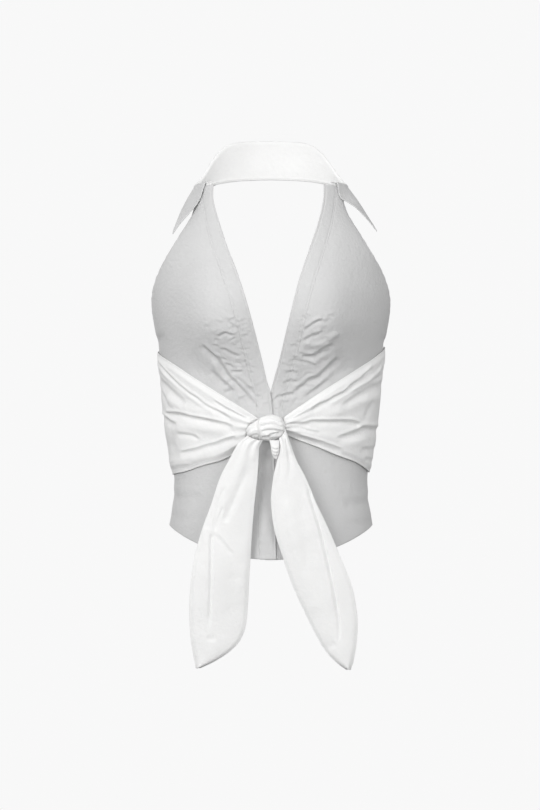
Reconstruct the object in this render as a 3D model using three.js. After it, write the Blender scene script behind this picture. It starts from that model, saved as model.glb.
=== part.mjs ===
// Halter neck top with a rolled collar, a deep V front, a low back and two ties knotted in front.
// Millimetres, +Z up, the garment's front faces -Y. Right and left are the wearer's: right is -X.
// The origin is the middle of the neck opening, level with the seam that joins collar and straps.
// Angles go round the body in degrees, from 0 at the centre front over 90 at the side to 180 behind.

import * as THREE from "three";

// Driving sizes

const CLOTH = 1.4;
const SEAM = 0.3;
const BAND_WIDTH = 21;
const SIDE_SEAM = 98;
const SIDE_HEM = -440;
const FRONT_HEM_DROP = 43.5;
const HEM_ROUNDNESS = 1.8;
const HEM_BEND = -400;
const STRAP_BEND = -34;
const UNDERARM = -172;

// Colours and finish

const BODY_GREY = 0xc9cacb;
const COLLAR_WHITE = 0xf0f0f0;
const TIE_WHITE = 0xf3f3f2;
const COTTON_ROUGHNESS = 0.85;

// The general figure that the cloth is cut for: half width at the side, depth in front and behind

const BODY = [
  { z: 14, width: 98, front: 62, back: 60 },
  { z: -4, width: 100, front: 68, back: 66 },
  { z: -20, width: 104, front: 75, back: 70 },
  { z: -36, width: 111, front: 82, back: 74 },
  { z: -50, width: 122, front: 88, back: 77 },
  { z: -63, width: 133, front: 93, back: 79 },
  { z: -80, width: 144, front: 98, back: 81 },
  { z: -95, width: 150, front: 102, back: 83 },
  { z: -126, width: 155.5, front: 107, back: 85 },
  { z: -145, width: 156.5, front: 108, back: 86 },
  { z: -172, width: 154, front: 107, back: 86 },
  { z: -208, width: 147, front: 102, back: 84 },
  { z: -243, width: 142, front: 96, back: 80 },
  { z: -277, width: 139, front: 92, back: 76 },
  { z: -305, width: 136, front: 90, back: 74 },
  { z: -330, width: 133, front: 88, back: 73 },
  { z: -355, width: 128.5, front: 88, back: 73 },
  { z: -381, width: 126, front: 90, back: 76 },
  { z: -412, width: 128.3, front: 95, back: 82 },
  { z: -440, width: 132.8, front: 100, back: 88 },
  { z: -485, width: 136, front: 106, back: 92 },
];

// Each cup is a smooth swelling added to the figure, widest towards the middle and above

const CUP = {
  x: 75,
  z: -170,
  height: 28,
  inner_spread: 62,
  outer_spread: 48,
  upper_spread: 85,
  lower_spread: 55,
  fade_from: 70,
  fade_to: 96,
};

// Distance of each front edge from the centre line, below zero where it has crossed over

const FRONT_EDGE = [
  { z: 8, right: 75.5, left: 69.5 },
  { z: -16, right: 75.5, left: 68.5 },
  { z: -36, right: 70.5, left: 64.5 },
  { z: -58, right: 63.8, left: 58 },
  { z: -81, right: 56, left: 50 },
  { z: -97, right: 49.5, left: 44.5 },
  { z: -123, right: 40, left: 36 },
  { z: -160, right: 28.6, left: 26.5 },
  { z: -186, right: 21.7, left: 20.3 },
  { z: -223, right: 12.5, left: 11.7 },
  { z: -253, right: 5.5, left: 3.5 },
  { z: -268, right: 0.8, left: -0.5 },
  { z: -290, right: -1.8, left: -6.5 },
  { z: -320, right: -3, left: -9 },
  { z: -400, right: -5, left: -9.5 },
  { z: -490, right: -6.5, left: -8 },
];

// The armhole, as the angle round the body at which the front panel ends

const ARMHOLE = [
  { z: -4, right: 80, left: 76 },
  { z: -20, right: 73.5, left: 67 },
  { z: -36, right: 68.5, left: 65.6 },
  { z: -50, right: 66, left: 63.8 },
  { z: -63, right: 64.3, left: 62.2 },
  { z: -80, right: 64.8, left: 62.7 },
  { z: -95, right: 68, left: 66 },
  { z: -108, right: 72.5, left: 70.8 },
  { z: -126, right: 79, left: 77 },
  { z: -145, right: 86, left: 84 },
  { z: -160, right: 92.5, left: 91.5 },
  { z: UNDERARM, right: SIDE_SEAM, left: SIDE_SEAM },
];

// How far the left front goes behind the right one where they cross

const TUCK = [
  { z: -215, depth: 0 },
  { z: -240, depth: 1.2 },
  { z: -262, depth: 2.6 },
  { z: -490, depth: 2.6 },
];
const TUCK_REACH = 34;

// Gathers that leave the band seam under and beside each cup

const GATHER_START = 5;
const GATHERS_RIGHT = [
  { z: -176, length: 34, height: 2.2, spread: 4.5, slope: 0.05 },
  { z: -189, length: 26, height: 2.6, spread: 4.2, slope: -0.05 },
  { z: -202, length: 38, height: 2.8, spread: 4.6, slope: 0.12 },
  { z: -216, length: 30, height: 2.6, spread: 4.2, slope: 0.22 },
  { z: -230, length: 44, height: 3.2, spread: 4.8, slope: 0.42 },
  { z: -246, length: 62, height: 4.2, spread: 5.2, slope: 0.72 },
  { z: -262, length: 70, height: 4.4, spread: 5.6, slope: 0.86 },
];
const GATHERS_LEFT = [
  { z: -171, length: 32, height: 2.4, spread: 4.4, slope: 0.18 },
  { z: -184, length: 28, height: 2.4, spread: 4.2, slope: 0.06 },
  { z: -198, length: 42, height: 3, spread: 4.8, slope: 0.24 },
  { z: -213, length: 46, height: 3, spread: 4.6, slope: 0.32 },
  { z: -228, length: 34, height: 2.6, spread: 4.4, slope: 0.42 },
  { z: -244, length: 60, height: 4, spread: 5.2, slope: 0.66 },
  { z: -261, length: 72, height: 4.4, spread: 5.6, slope: 0.8 },
];

// Collar: the stand's lower edge, and its top on each side, by the angle from the centre behind

const NECK_WIDTH = 97.5;
const NECK_DEPTH = 65;
const STAND_END = 127;
const STAND = [
  { turn: 0, low: 12.3, right: 59.7, left: 59.7 },
  { turn: 20, low: 11.2, right: 58.8, left: 58.2 },
  { turn: 30, low: 9.8, right: 56.6, left: 55.2 },
  { turn: 38, low: 8.2, right: 51.3, left: 48.6 },
  { turn: 46, low: 6.2, right: 41.5, left: 38.4 },
  { turn: 53, low: 4.4, right: 30.2, left: 27.6 },
  { turn: 61.5, low: 1.8, right: 16.6, left: 15.6 },
  { turn: 72, low: -0.8, right: 6.6, left: 6 },
  { turn: 84, low: -2.4, right: 1.6, left: 1.6 },
  { turn: 96, low: -2.6, right: 1.2, left: 1.2 },
  { turn: 108, low: -1.2, right: 2.4, left: 2.4 },
  { turn: 118, low: 0.8, right: 4.2, left: 4.2 },
  { turn: STAND_END, low: 3.6, right: 6.6, left: 6.6 },
];

// The leaf's free edge on each side, and how far its front edges hang in from a straight line

const LEAF_END = 121;
const LEAF_EDGE = [
  { turn: 0, right: 0, left: 0, y: 73.5, right_z: 15, left_z: 15 },
  { turn: 20, right: 36, left: 36, y: 70, right_z: 13.6, left_z: 13.6 },
  { turn: 38, right: 64, left: 64, y: 61.5, right_z: 9.2, left_z: 9.2 },
  { turn: 50, right: 84, left: 84.5, y: 53, right_z: -0.4, left_z: -0.4 },
  { turn: 64, right: 101, left: 103, y: 41, right_z: -14, left_z: -13.6 },
  { turn: 78, right: 114, left: 117, y: 25, right_z: -30, left_z: -28 },
  { turn: 92, right: 122.5, left: 128, y: 6, right_z: -44, left_z: -42 },
  { turn: 106, right: 127, left: 135.5, y: -14, right_z: -54, left_z: -50.5 },
  { turn: 114, right: 128.2, left: 138, y: -27, right_z: -58, left_z: -54.6 },
  { turn: LEAF_END, right: 128.5, left: 138.8, y: -38, right_z: -60, left_z: -56.8 },
];
const LEAF_SAG = [
  { share: 0, right: 0, left: 0 },
  { share: 0.28, right: 6.4, left: 10.5 },
  { share: 0.43, right: 7, left: 5 },
  { share: 0.55, right: 6.2, left: 2.8 },
  { share: 0.8, right: 2.2, left: 0.6 },
  { share: 1, right: 0, left: 0 },
];
const SAG_FROM = 95;
const SAG_FORWARD = 0.5;
const ROLL = [
  { out: 0, up: 2.4 },
  { out: 2.2, up: 2 },
  { out: 3.6, up: -0.4 },
];

// Back: its upper edge by the angle round the body

const BACK_TOP = [
  { angle: SIDE_SEAM, z: UNDERARM },
  { angle: 110, z: -199 },
  { angle: 130, z: -240 },
  { angle: 155, z: -268 },
  { angle: 180, z: -274 },
];
const BACK_HEM_DROP = 8;

// Ties: their edges from the side seam to the knot, and how far they stand off the body

const WRAP_RIGHT = [
  { angle: 97.6, upper: -213, lower: -374, lift: 0.6 },
  { angle: 91, upper: -214, lower: -374, lift: 1.9 },
  { angle: 78, upper: -218, lower: -372.5, lift: 2.8 },
  { angle: 60, upper: -230, lower: -369.5, lift: 3 },
  { angle: 42, upper: -250, lower: -361, lift: 4.2 },
  { angle: 28, upper: -269, lower: -353.5, lift: 6 },
  { angle: 15, upper: -288, lower: -338, lift: 10 },
  { angle: 6.9, upper: -301, lower: -326, lift: 14 },
];
const WRAP_LEFT = [
  { angle: 97.6, upper: -207, lower: -371, lift: 0.6 },
  { angle: 91, upper: -208, lower: -371, lift: 1.9 },
  { angle: 78, upper: -213, lower: -368.5, lift: 2.8 },
  { angle: 57, upper: -230, lower: -357, lift: 3 },
  { angle: 40, upper: -249, lower: -348, lift: 4.2 },
  { angle: 26, upper: -268, lower: -337, lift: 6 },
  { angle: 14, upper: -287, lower: -327, lift: 10 },
  { angle: 6.9, upper: -299, lower: -320, lift: 14 },
];

// The right tie ends lower down further out, round the knot's broad side

const WRAP_END = { out: 13.8, in: 6.4, power: 3 };

// Folds of the ties: share of the height at the side and at the knot, share of the length

const WRAP_FOLDS_RIGHT = [
  { side: 0.97, knot: 0.86, from: 0, to: 1, height: 2.6, spread: 0.035 },
  { side: 0.875, knot: 0.68, from: 0, to: 0.95, height: 3.4, spread: 0.035 },
  { side: 0.77, knot: 0.56, from: 0, to: 0.7, height: 3, spread: 0.035 },
  { side: 0.62, knot: 0.5, from: 0.1, to: 0.95, height: 3.2, spread: 0.05 },
  { side: 0.45, knot: 0.4, from: 0, to: 0.9, height: 3.6, spread: 0.04 },
  { side: 0.3, knot: 0.3, from: 0.15, to: 0.9, height: 2.8, spread: 0.04 },
  { side: 0.1, knot: 0.14, from: 0, to: 1, height: 2.4, spread: 0.045 },
];
const WRAP_FOLDS_LEFT = [
  { side: 0.96, knot: 0.88, from: 0, to: 1, height: 2.8, spread: 0.04 },
  { side: 0.86, knot: 0.66, from: 0.05, to: 1, height: 3.8, spread: 0.04 },
  { side: 0.72, knot: 0.56, from: 0, to: 0.6, height: 2.4, spread: 0.04 },
  { side: 0.56, knot: 0.5, from: 0.1, to: 1, height: 3, spread: 0.05 },
  { side: 0.4, knot: 0.34, from: 0, to: 0.85, height: 3.4, spread: 0.04 },
  { side: 0.22, knot: 0.22, from: 0.1, to: 0.9, height: 2.4, spread: 0.045 },
  { side: 0.05, knot: 0.08, from: 0, to: 1, height: 2, spread: 0.03 },
];

// Knot: a bundle of cloth, half sizes from its middle, tilted down to the wearer's right, where it tapers

const KNOT = { x: -7, y: -109.5, z: -314, length: 25.5, height: 16, depth: 13, tilt: 12, taper: 0.28 };

// Tails: left and right edge at each level, and how far in front of the origin they hang

const TAIL_RIGHT = [
  { z: -330, from: -30, to: -11, y: -112 },
  { z: -338, from: -41, to: -15, y: -113.5 },
  { z: -348, from: -49, to: -16, y: -114.5 },
  { z: -373, from: -64, to: -17.5, y: -115 },
  { z: -411, from: -77, to: -21.5, y: -116 },
  { z: -447, from: -90, to: -24.7, y: -117 },
  { z: -481, from: -99, to: -26.7, y: -118 },
  { z: -510, from: -103.5, to: -28.5, y: -118 },
  { z: -541, from: -105.5, to: -30, y: -117 },
  { z: -570, from: -105, to: -33, y: -115 },
  { z: -588, from: -103.5, to: -40, y: -114 },
  { z: -602, from: -101.5, to: -53, y: -113 },
  { z: -615, from: -99, to: -72, y: -112 },
  { z: -624, from: -97.5, to: -91, y: -111 },
];
const TAIL_LEFT = [
  { z: -326, from: 10, to: 18.5, y: -111 },
  { z: -338, from: 11.5, to: 24, y: -113.5 },
  { z: -353, from: 8.5, to: 31.5, y: -114 },
  { z: -378, from: 3, to: 45, y: -116 },
  { z: -407, from: 0.2, to: 57, y: -117 },
  { z: -444, from: 4.3, to: 74.5, y: -118 },
  { z: -481, from: 15.6, to: 90, y: -118 },
  { z: -518, from: 28.6, to: 104.5, y: -117 },
  { z: -556, from: 46, to: 111.5, y: -115 },
  { z: -582, from: 59, to: 111.5, y: -114 },
  { z: -604, from: 72.5, to: 109, y: -113 },
  { z: -618, from: 86, to: 106, y: -112 },
  { z: -626, from: 97, to: 103.5, y: -111 },
];
const TAIL_BOW = 3;
const TAIL_COLUMNS = 9;
const TAIL_ROWS = 25;
const UNDER_KNOT = 35;
const KNOT_GAP = 0.4;
const TAIL_FOLDS_RIGHT = [
  { top: -350, foot: -440, at_top: 0.66, at_foot: 0.4, height: 4.5, spread: 0.12 },
  { top: -430, foot: -600, at_top: 0.22, at_foot: 0.4, height: 4.2, spread: 0.1 },
  { top: -440, foot: -600, at_top: 0.8, at_foot: 0.84, height: 3, spread: 0.12 },
];
const TAIL_FOLDS_LEFT = [
  { top: -350, foot: -480, at_top: 0.35, at_foot: 0.45, height: 3.4, spread: 0.12 },
  { top: -390, foot: -590, at_top: 0.84, at_foot: 0.52, height: 4.8, spread: 0.1 },
  { top: -440, foot: -600, at_top: 0.2, at_foot: 0.2, height: 2.4, spread: 0.12 },
];

// Levels of the front panels and bands, close together where the gathers are

const FRONT_LEVELS = [
  ...levels(SIDE_HEM, -282, 11),
  ...levels(-274, -166, 22),
  ...levels(-154, STRAP_BEND, 10),
  -24,
  -14,
  -5,
];

function levels(from, to, count) {
  return Array.from({ length: count }, (_, i) => THREE.MathUtils.lerp(from, to, i / (count - 1)));
}

// Numbers read from a table, smooth between its rows

function read(table, key, at, column) {
  const rising = table[0][key] < table[table.length - 1][key];
  const rows = rising ? table : [...table].reverse();
  const last = rows.length - 1;
  if (at <= rows[0][key]) return rows[0][column];
  if (at >= rows[last][key]) return rows[last][column];
  const i = rows.findIndex((row) => row[key] >= at) - 1;
  const slope = (j) => {
    const a = rows[Math.max(j - 1, 0)];
    const b = rows[Math.min(j + 1, last)];
    return (b[column] - a[column]) / (b[key] - a[key]);
  };
  const step = rows[i + 1][key] - rows[i][key];
  const t = (at - rows[i][key]) / step;
  const start = rows[i][column];
  const end = rows[i + 1][column];
  const turn_start = slope(i) * step;
  const turn_end = slope(i + 1) * step;
  const square = t * t;
  const cube = square * t;
  return (
    start * (2 * cube - 3 * square + 1) +
    turn_start * (cube - 2 * square + t) +
    end * (3 * square - 2 * cube) +
    turn_end * (cube - square)
  );
}

function bell(distance, spread) {
  return Math.exp(-((distance / spread) ** 2));
}

function radians(degrees) {
  return THREE.MathUtils.degToRad(degrees);
}

// The figure's surface

function cup(x, z, angle) {
  const across = bell(x - CUP.x, x < CUP.x ? CUP.inner_spread : CUP.outer_spread);
  const upright = bell(z - CUP.z, z > CUP.z ? CUP.upper_spread : CUP.lower_spread);
  const fade = 1 - THREE.MathUtils.smoothstep(angle, CUP.fade_from, CUP.fade_to);
  return CUP.height * across * upright * fade;
}

function onBody(side, angle, z) {
  const turn = radians(angle);
  const half_width = read(BODY, "z", z, "width");
  const depth = read(BODY, "z", z, angle < 90 ? "front" : "back");
  const x = half_width * Math.sin(turn);
  const y = -depth * Math.cos(turn) - cup(Math.abs(x), z, angle);
  return new THREE.Vector3(side * x, y, z);
}

function offBody(side, angle, z, lift) {
  const small = 0.5;
  const round = onBody(side, angle + small, z).sub(onBody(side, angle - small, z));
  const up = onBody(side, angle, z + small).sub(onBody(side, angle, z - small));
  const normal = round.cross(up).multiplyScalar(side).normalize();
  return onBody(side, angle, z).addScaledVector(normal, lift);
}

function angleAfter(side, angle, z, distance) {
  const step = 0.2;
  let covered = 0;
  let here = angle;
  while (covered < distance) {
    const piece = onBody(side, here, z).distanceTo(onBody(side, here + step, z));
    if (covered + piece > distance) return here + (step * (distance - covered)) / piece;
    covered += piece;
    here += step;
  }
  return here;
}

// Closed walls

function closedMesh(name, material, points, triangles) {
  const geometry = new THREE.BufferGeometry();
  const flat = points.flatMap((p) => [p.x, p.y, p.z]);
  geometry.setAttribute("position", new THREE.Float32BufferAttribute(flat, 3));
  geometry.setIndex(triangles.flat());
  geometry.computeVertexNormals();
  const mesh = new THREE.Mesh(geometry, material);
  mesh.name = name;
  return mesh;
}

// Points one thickness inside a grid, along its own normals

function insideOf(grid) {
  const rows = grid.length;
  const columns = grid[0].length;
  return grid.map((row, i) =>
    row.map((point, j) => {
      const right = row[Math.min(j + 1, columns - 1)].clone().sub(row[Math.max(j - 1, 0)]);
      const up = grid[Math.min(i + 1, rows - 1)][j].clone().sub(grid[Math.max(i - 1, 0)][j]);
      return point.clone().addScaledVector(right.cross(up).normalize(), -CLOTH);
    }),
  );
}

// A wall between an outer and an inner grid of points.
// Seen from outside, the columns go to the right as the rows go up.

function wall(name, material, grid, inner_grid = insideOf(grid)) {
  const rows = grid.length;
  const columns = grid[0].length;
  const at = (i, j) => i * columns + j;
  const outer = grid.flat();
  const inner = inner_grid.flat();
  const back = outer.length;
  const triangles = [];
  const quad = (a, b, c, d) => triangles.push([a, b, c], [a, c, d]);
  for (let i = 0; i < rows - 1; i += 1) {
    for (let j = 0; j < columns - 1; j += 1) {
      const [a, b, c, d] = [at(i, j), at(i, j + 1), at(i + 1, j + 1), at(i + 1, j)];
      quad(a, b, c, d);
      quad(back + d, back + c, back + b, back + a);
    }
  }
  const rim = [];
  for (let j = 0; j < columns - 1; j += 1) rim.push(at(0, j));
  for (let i = 0; i < rows - 1; i += 1) rim.push(at(i, columns - 1));
  for (let j = columns - 1; j > 0; j -= 1) rim.push(at(rows - 1, j));
  for (let i = rows - 1; i > 0; i -= 1) rim.push(at(i, 0));
  rim.forEach((a, k) => {
    const b = rim[(k + 1) % rim.length];
    quad(back + a, back + b, b, a);
  });
  return closedMesh(name, material, [...outer, ...inner], triangles);
}

function cloth(color) {
  return new THREE.MeshStandardMaterial({ color, roughness: COTTON_ROUGHNESS, metalness: 0 });
}

// Fronts and their bands

function sideName(side) {
  return side < 0 ? "right" : "left";
}

function edgeAngle(side, z) {
  const distance = read(FRONT_EDGE, "z", z, sideName(side));
  return THREE.MathUtils.radToDeg(Math.asin(distance / read(BODY, "z", z, "width")));
}

function outerAngle(side, z) {
  return z < UNDERARM ? SIDE_SEAM : read(ARMHOLE, "z", z, sideName(side));
}

function hemLevel(angle) {
  const forward = Math.max(Math.cos(radians(angle)), 0);
  return SIDE_HEM - FRONT_HEM_DROP * forward ** HEM_ROUNDNESS;
}

function strapTop(angle) {
  return read(STAND, "turn", 180 - angle, "low") - SEAM;
}

// Bends the rows near the hem and the neck so that the panel ends on those curves

function trueLevel(level, angle) {
  if (level < HEM_BEND) {
    return HEM_BEND + ((level - HEM_BEND) * (hemLevel(angle) - HEM_BEND)) / (SIDE_HEM - HEM_BEND);
  }
  if (level > STRAP_BEND) {
    const top = FRONT_LEVELS[FRONT_LEVELS.length - 1];
    return STRAP_BEND + ((level - STRAP_BEND) * (strapTop(angle) - STRAP_BEND)) / (top - STRAP_BEND);
  }
  return level;
}

function gatherLift(side, distance, z) {
  const gathers = side < 0 ? GATHERS_RIGHT : GATHERS_LEFT;
  return gathers.reduce((sum, fold) => {
    const start = THREE.MathUtils.smoothstep(distance, 0, GATHER_START);
    const fade = start * (1 - THREE.MathUtils.smoothstep(distance, fold.length * 0.25, fold.length));
    return sum + fold.height * fade * bell(z - fold.z - fold.slope * distance, fold.spread);
  }, 0);
}

function tuck(side, distance, z) {
  if (side < 0) return 0;
  return read(TUCK, "z", z, "depth") * (1 - THREE.MathUtils.smoothstep(distance, 0, TUCK_REACH));
}

// A point of the front's cloth: distance is counted outwards from the band seam

function frontPoint(side, angle, level, distance, inset) {
  const z = trueLevel(level, angle);
  const lift = gatherLift(side, distance, z) - tuck(side, distance, z);
  return offBody(side, angle, z, lift - inset);
}

function frontGrid(side, columns, inset) {
  return FRONT_LEVELS.map((level) => {
    const edge = edgeAngle(side, trueLevel(level, edgeAngle(side, level)));
    const seam = angleAfter(side, edge, level, BAND_WIDTH);
    const start = angleAfter(side, seam, level, SEAM);
    const end = outerAngle(side, level);
    return levels(0, 1, columns).map((share) => {
      const angle = THREE.MathUtils.lerp(start, end, share ** 1.15);
      const distance = Math.abs(onBody(side, angle, level).x - onBody(side, seam, level).x);
      return frontPoint(side, angle, level, distance, inset);
    });
  });
}

function bandGrid(side, inset) {
  return FRONT_LEVELS.map((level) => {
    const edge = edgeAngle(side, trueLevel(level, edgeAngle(side, level)));
    return [0, 0.5, 1].map((share) => {
      const angle = angleAfter(side, edge, level, BAND_WIDTH * share);
      return frontPoint(side, angle, level, 0, inset);
    });
  });
}

function facing(side, grid) {
  return side < 0 ? grid.map((row) => [...row].reverse()) : grid;
}

function frontPanel(side) {
  const [outer, inner] = [0, CLOTH].map((inset) => facing(side, frontGrid(side, 12, inset)));
  return wall(`front_${sideName(side)}`, cloth(BODY_GREY), outer, inner);
}

function frontBand(side) {
  const [outer, inner] = [0, CLOTH].map((inset) => facing(side, bandGrid(side, inset)));
  return wall(`band_${sideName(side)}`, cloth(BODY_GREY), outer, inner);
}

// Back

function backGrid(inset) {
  const gap = angleAfter(1, SIDE_SEAM, HEM_BEND, SEAM) - SIDE_SEAM;
  const reach = 180 - SIDE_SEAM - gap;
  return levels(0, 1, 13).map((share) =>
    levels(-reach, reach, 25).map((turn) => {
      const angle = 180 - Math.abs(turn);
      const top = read(BACK_TOP, "angle", angle, "z");
      const hem = SIDE_HEM - BACK_HEM_DROP * Math.cos(radians(turn)) ** 2;
      return offBody(turn < 0 ? 1 : -1, angle, THREE.MathUtils.lerp(hem, top, share), -inset);
    }),
  );
}

function backPanel() {
  return wall("back", cloth(BODY_GREY), backGrid(0), backGrid(CLOTH));
}

// Collar

function neckPoint(turn, out, z) {
  const angle = radians(turn);
  return new THREE.Vector3(
    -(NECK_WIDTH + out) * Math.sin(angle),
    (NECK_DEPTH + out) * Math.cos(angle),
    z,
  );
}

// Turns above zero are on the wearer's right

function turnSide(turn) {
  return turn > 0 ? "right" : "left";
}

function standTop(turn) {
  return read(STAND, "turn", Math.abs(turn), turnSide(turn));
}

function collarStand() {
  const turns = levels(-STAND_END, STAND_END, 37);
  const grid = levels(0, 1, 3).map((share) =>
    turns.map((turn) => {
      const low = read(STAND, "turn", Math.abs(turn), "low");
      return neckPoint(turn, 0, THREE.MathUtils.lerp(low, standTop(turn), share));
    }),
  );
  return wall("collar_stand", cloth(COLLAR_WHITE), grid);
}

function leafEdge(turn) {
  const column = (name) => read(LEAF_EDGE, "turn", Math.abs(turn), name);
  const name = turnSide(turn);
  return new THREE.Vector3(-Math.sign(turn) * column(name), column("y"), column(`${name}_z`));
}

function leafSag(turn, share) {
  const reach = THREE.MathUtils.smoothstep(Math.abs(turn), SAG_FROM, LEAF_END);
  const sag = reach * read(LEAF_SAG, "share", share, turnSide(turn));
  return new THREE.Vector3(Math.sign(turn) * sag, -SAG_FORWARD * sag, 0);
}

function leafSection(turn) {
  const roll = ROLL.map((step) => neckPoint(turn, step.out, standTop(turn) + step.up));
  const start = roll[roll.length - 1];
  const end = leafEdge(turn);
  const fall = levels(0, 1, 6)
    .slice(1)
    .map((share) => start.clone().lerp(end, share).add(leafSag(turn, share)));
  return [...roll, ...fall].reverse();
}

function collarLeaf() {
  const sections = levels(-LEAF_END, LEAF_END, 41).map(leafSection);
  const grid = sections[0].map((_, i) => sections.map((section) => section[i]));
  return wall("collar_leaf", cloth(BODY_GREY), grid);
}

// Ties

function foldLift(folds, along, share) {
  return folds.reduce((sum, fold) => {
    const middle = THREE.MathUtils.lerp(fold.side, fold.knot, along);
    const start = THREE.MathUtils.smoothstep(along, fold.from - 0.15, fold.from + 0.1);
    const end = 1 - THREE.MathUtils.smoothstep(along, fold.to - 0.25, fold.to + 0.1);
    const slack = 1 - 0.6 * along;
    return sum + fold.height * start * end * slack * bell(share - middle, fold.spread);
  }, 0);
}

function wrapGrid(side, inset) {
  const edges = side < 0 ? WRAP_RIGHT : WRAP_LEFT;
  const folds = side < 0 ? WRAP_FOLDS_RIGHT : WRAP_FOLDS_LEFT;
  const first = edges[0].angle;
  const last = edges[edges.length - 1].angle;
  const knotEnd = (share) => {
    if (side > 0) return last;
    return THREE.MathUtils.lerp(WRAP_END.out, WRAP_END.in, share ** WRAP_END.power);
  };
  return levels(0, 1, 15).map((share) =>
    levels(0, 1, 21).map((step) => {
      const angle = THREE.MathUtils.lerp(knotEnd(share), first, step);
      const lower = read(edges, "angle", angle, "lower");
      const upper = read(edges, "angle", angle, "upper");
      const lift = read(edges, "angle", angle, "lift") + foldLift(folds, 1 - step, share);
      return offBody(side, angle, THREE.MathUtils.lerp(lower, upper, share), lift + CLOTH - inset);
    }),
  );
}

function tieWrap(side) {
  const [outer, inner] = [0, CLOTH].map((inset) => facing(side, wrapGrid(side, inset)));
  return wall(`tie_wrap_${sideName(side)}`, cloth(TIE_WHITE), outer, inner);
}

// A point of the knot's outline, from shares of its half length and half height

function onKnot(along, across) {
  const tilt = radians(KNOT.tilt);
  const length = along * KNOT.length;
  const height = across * KNOT.height * (1 + KNOT.taper * along);
  return {
    x: KNOT.x + Math.cos(tilt) * length - Math.sin(tilt) * height,
    z: KNOT.z + Math.sin(tilt) * length + Math.cos(tilt) * height,
  };
}

const KNOT_FOOT = levels(-165, -15, 31).map((turn) => onKnot(Math.cos(radians(turn)), Math.sin(radians(turn))));

function knot() {
  const ball = new THREE.SphereGeometry(1, 28, 16);
  const places = ball.getAttribute("position");
  const point = new THREE.Vector3();
  for (let k = 0; k < places.count; k += 1) {
    point.fromBufferAttribute(places, k);
    const place = onKnot(point.x, point.y);
    places.setXYZ(k, place.x, KNOT.y - point.z * KNOT.depth, place.z);
  }
  ball.computeVertexNormals();
  const mesh = new THREE.Mesh(ball, cloth(TIE_WHITE));
  mesh.name = "knot";
  return mesh;
}

function underKnot(x) {
  return read(KNOT_FOOT, "x", x, "z") - KNOT_GAP;
}

function tailLift(folds, z, share) {
  return folds.reduce((sum, fold) => {
    const along = THREE.MathUtils.clamp((z - fold.top) / (fold.foot - fold.top), 0, 1);
    const start = THREE.MathUtils.smoothstep(fold.top - z, -20, 25);
    const end = THREE.MathUtils.smoothstep(z - fold.foot, -20, 40);
    const middle = THREE.MathUtils.lerp(fold.at_top, fold.at_foot, along);
    return sum + fold.height * start * end * bell(share - middle, fold.spread);
  }, 0);
}

function tieTail(side) {
  const edges = side < 0 ? TAIL_RIGHT : TAIL_LEFT;
  const folds = side < 0 ? TAIL_FOLDS_RIGHT : TAIL_FOLDS_LEFT;
  const top = edges[0].z;
  const foot = edges[edges.length - 1].z;
  const grid = levels(foot, top, TAIL_ROWS).map((level) => {
    const from = read(edges, "z", level, "from");
    const to = read(edges, "z", level, "to");
    const depth = read(edges, "z", level, "y");
    const near_knot = THREE.MathUtils.smoothstep(level, top - UNDER_KNOT, top);
    return levels(0, 1, TAIL_COLUMNS).map((share) => {
      const x = THREE.MathUtils.lerp(from, to, share);
      const z = level + near_knot * (underKnot(x) - top);
      const bow = TAIL_BOW * Math.sin(Math.PI * share);
      return new THREE.Vector3(x, depth - tailLift(folds, level, share) - bow, z);
    });
  });
  return wall(`tie_tail_${sideName(side)}`, cloth(TIE_WHITE), grid);
}

// Assembly

const top = new THREE.Group();
top.name = "halter_neck_top";
for (const side of [-1, 1]) {
  top.add(frontPanel(side), frontBand(side), tieWrap(side), tieTail(side));
}
top.add(backPanel(), collarStand(), collarLeaf(), knot());

export default top;
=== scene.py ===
import math

import bpy
import numpy as np
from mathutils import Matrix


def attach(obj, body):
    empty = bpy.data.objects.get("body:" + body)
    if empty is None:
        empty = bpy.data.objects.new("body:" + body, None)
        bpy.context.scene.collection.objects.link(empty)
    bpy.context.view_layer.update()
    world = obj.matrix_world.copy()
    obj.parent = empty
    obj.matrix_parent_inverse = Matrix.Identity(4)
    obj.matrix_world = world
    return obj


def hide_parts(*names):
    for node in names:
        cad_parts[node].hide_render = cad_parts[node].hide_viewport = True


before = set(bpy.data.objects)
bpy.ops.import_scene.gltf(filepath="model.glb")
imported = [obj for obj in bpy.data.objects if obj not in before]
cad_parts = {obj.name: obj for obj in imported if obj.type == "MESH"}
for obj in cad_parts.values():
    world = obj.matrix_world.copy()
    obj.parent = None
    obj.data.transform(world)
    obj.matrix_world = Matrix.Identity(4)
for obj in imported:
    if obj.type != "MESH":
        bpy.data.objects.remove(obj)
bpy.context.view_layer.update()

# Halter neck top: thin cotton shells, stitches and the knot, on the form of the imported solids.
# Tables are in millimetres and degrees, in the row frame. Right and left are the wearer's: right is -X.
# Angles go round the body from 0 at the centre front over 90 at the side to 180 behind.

MM = 0.001

# Driving sizes

PANEL_CLOTH = 0.8
TIE_CLOTH = 0.7
BAND_WIDTH = 21
SEAM = 0.35
SIDE_SEAM = 98
SIDE_HEM = -440
FRONT_HEM_DROP = 43.5
HEM_ROUNDNESS = 1.8
HEM_BEND = -400
STRAP_BEND = -34
STRAP_LEVEL = -5
UNDERARM = -172
STITCH_PITCH = 2.8
STITCH_LENGTH = 2.1
STITCH_WIDTH = 0.42
STITCH_HEIGHT = 0.16
EDGE_STITCH = 2.5
HEM_STITCH = 7
TIE_STITCH = 4.5
ARMHOLE_STITCH = 5
LEAF_STITCH = 5

# Sunk lines that stitching draws into the cloth, and its small waves: depth and width, or height

BAND_CHANNEL = (0.55, 0.9)
STAND_CHANNEL = (0.6, 0.8)
BAND_PUCKER = 0.22
SEAM_PUCKER = 0.35
SEAM_TUCK = 0.25

# Points of each cloth's grid, close enough for its finest creases

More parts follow.
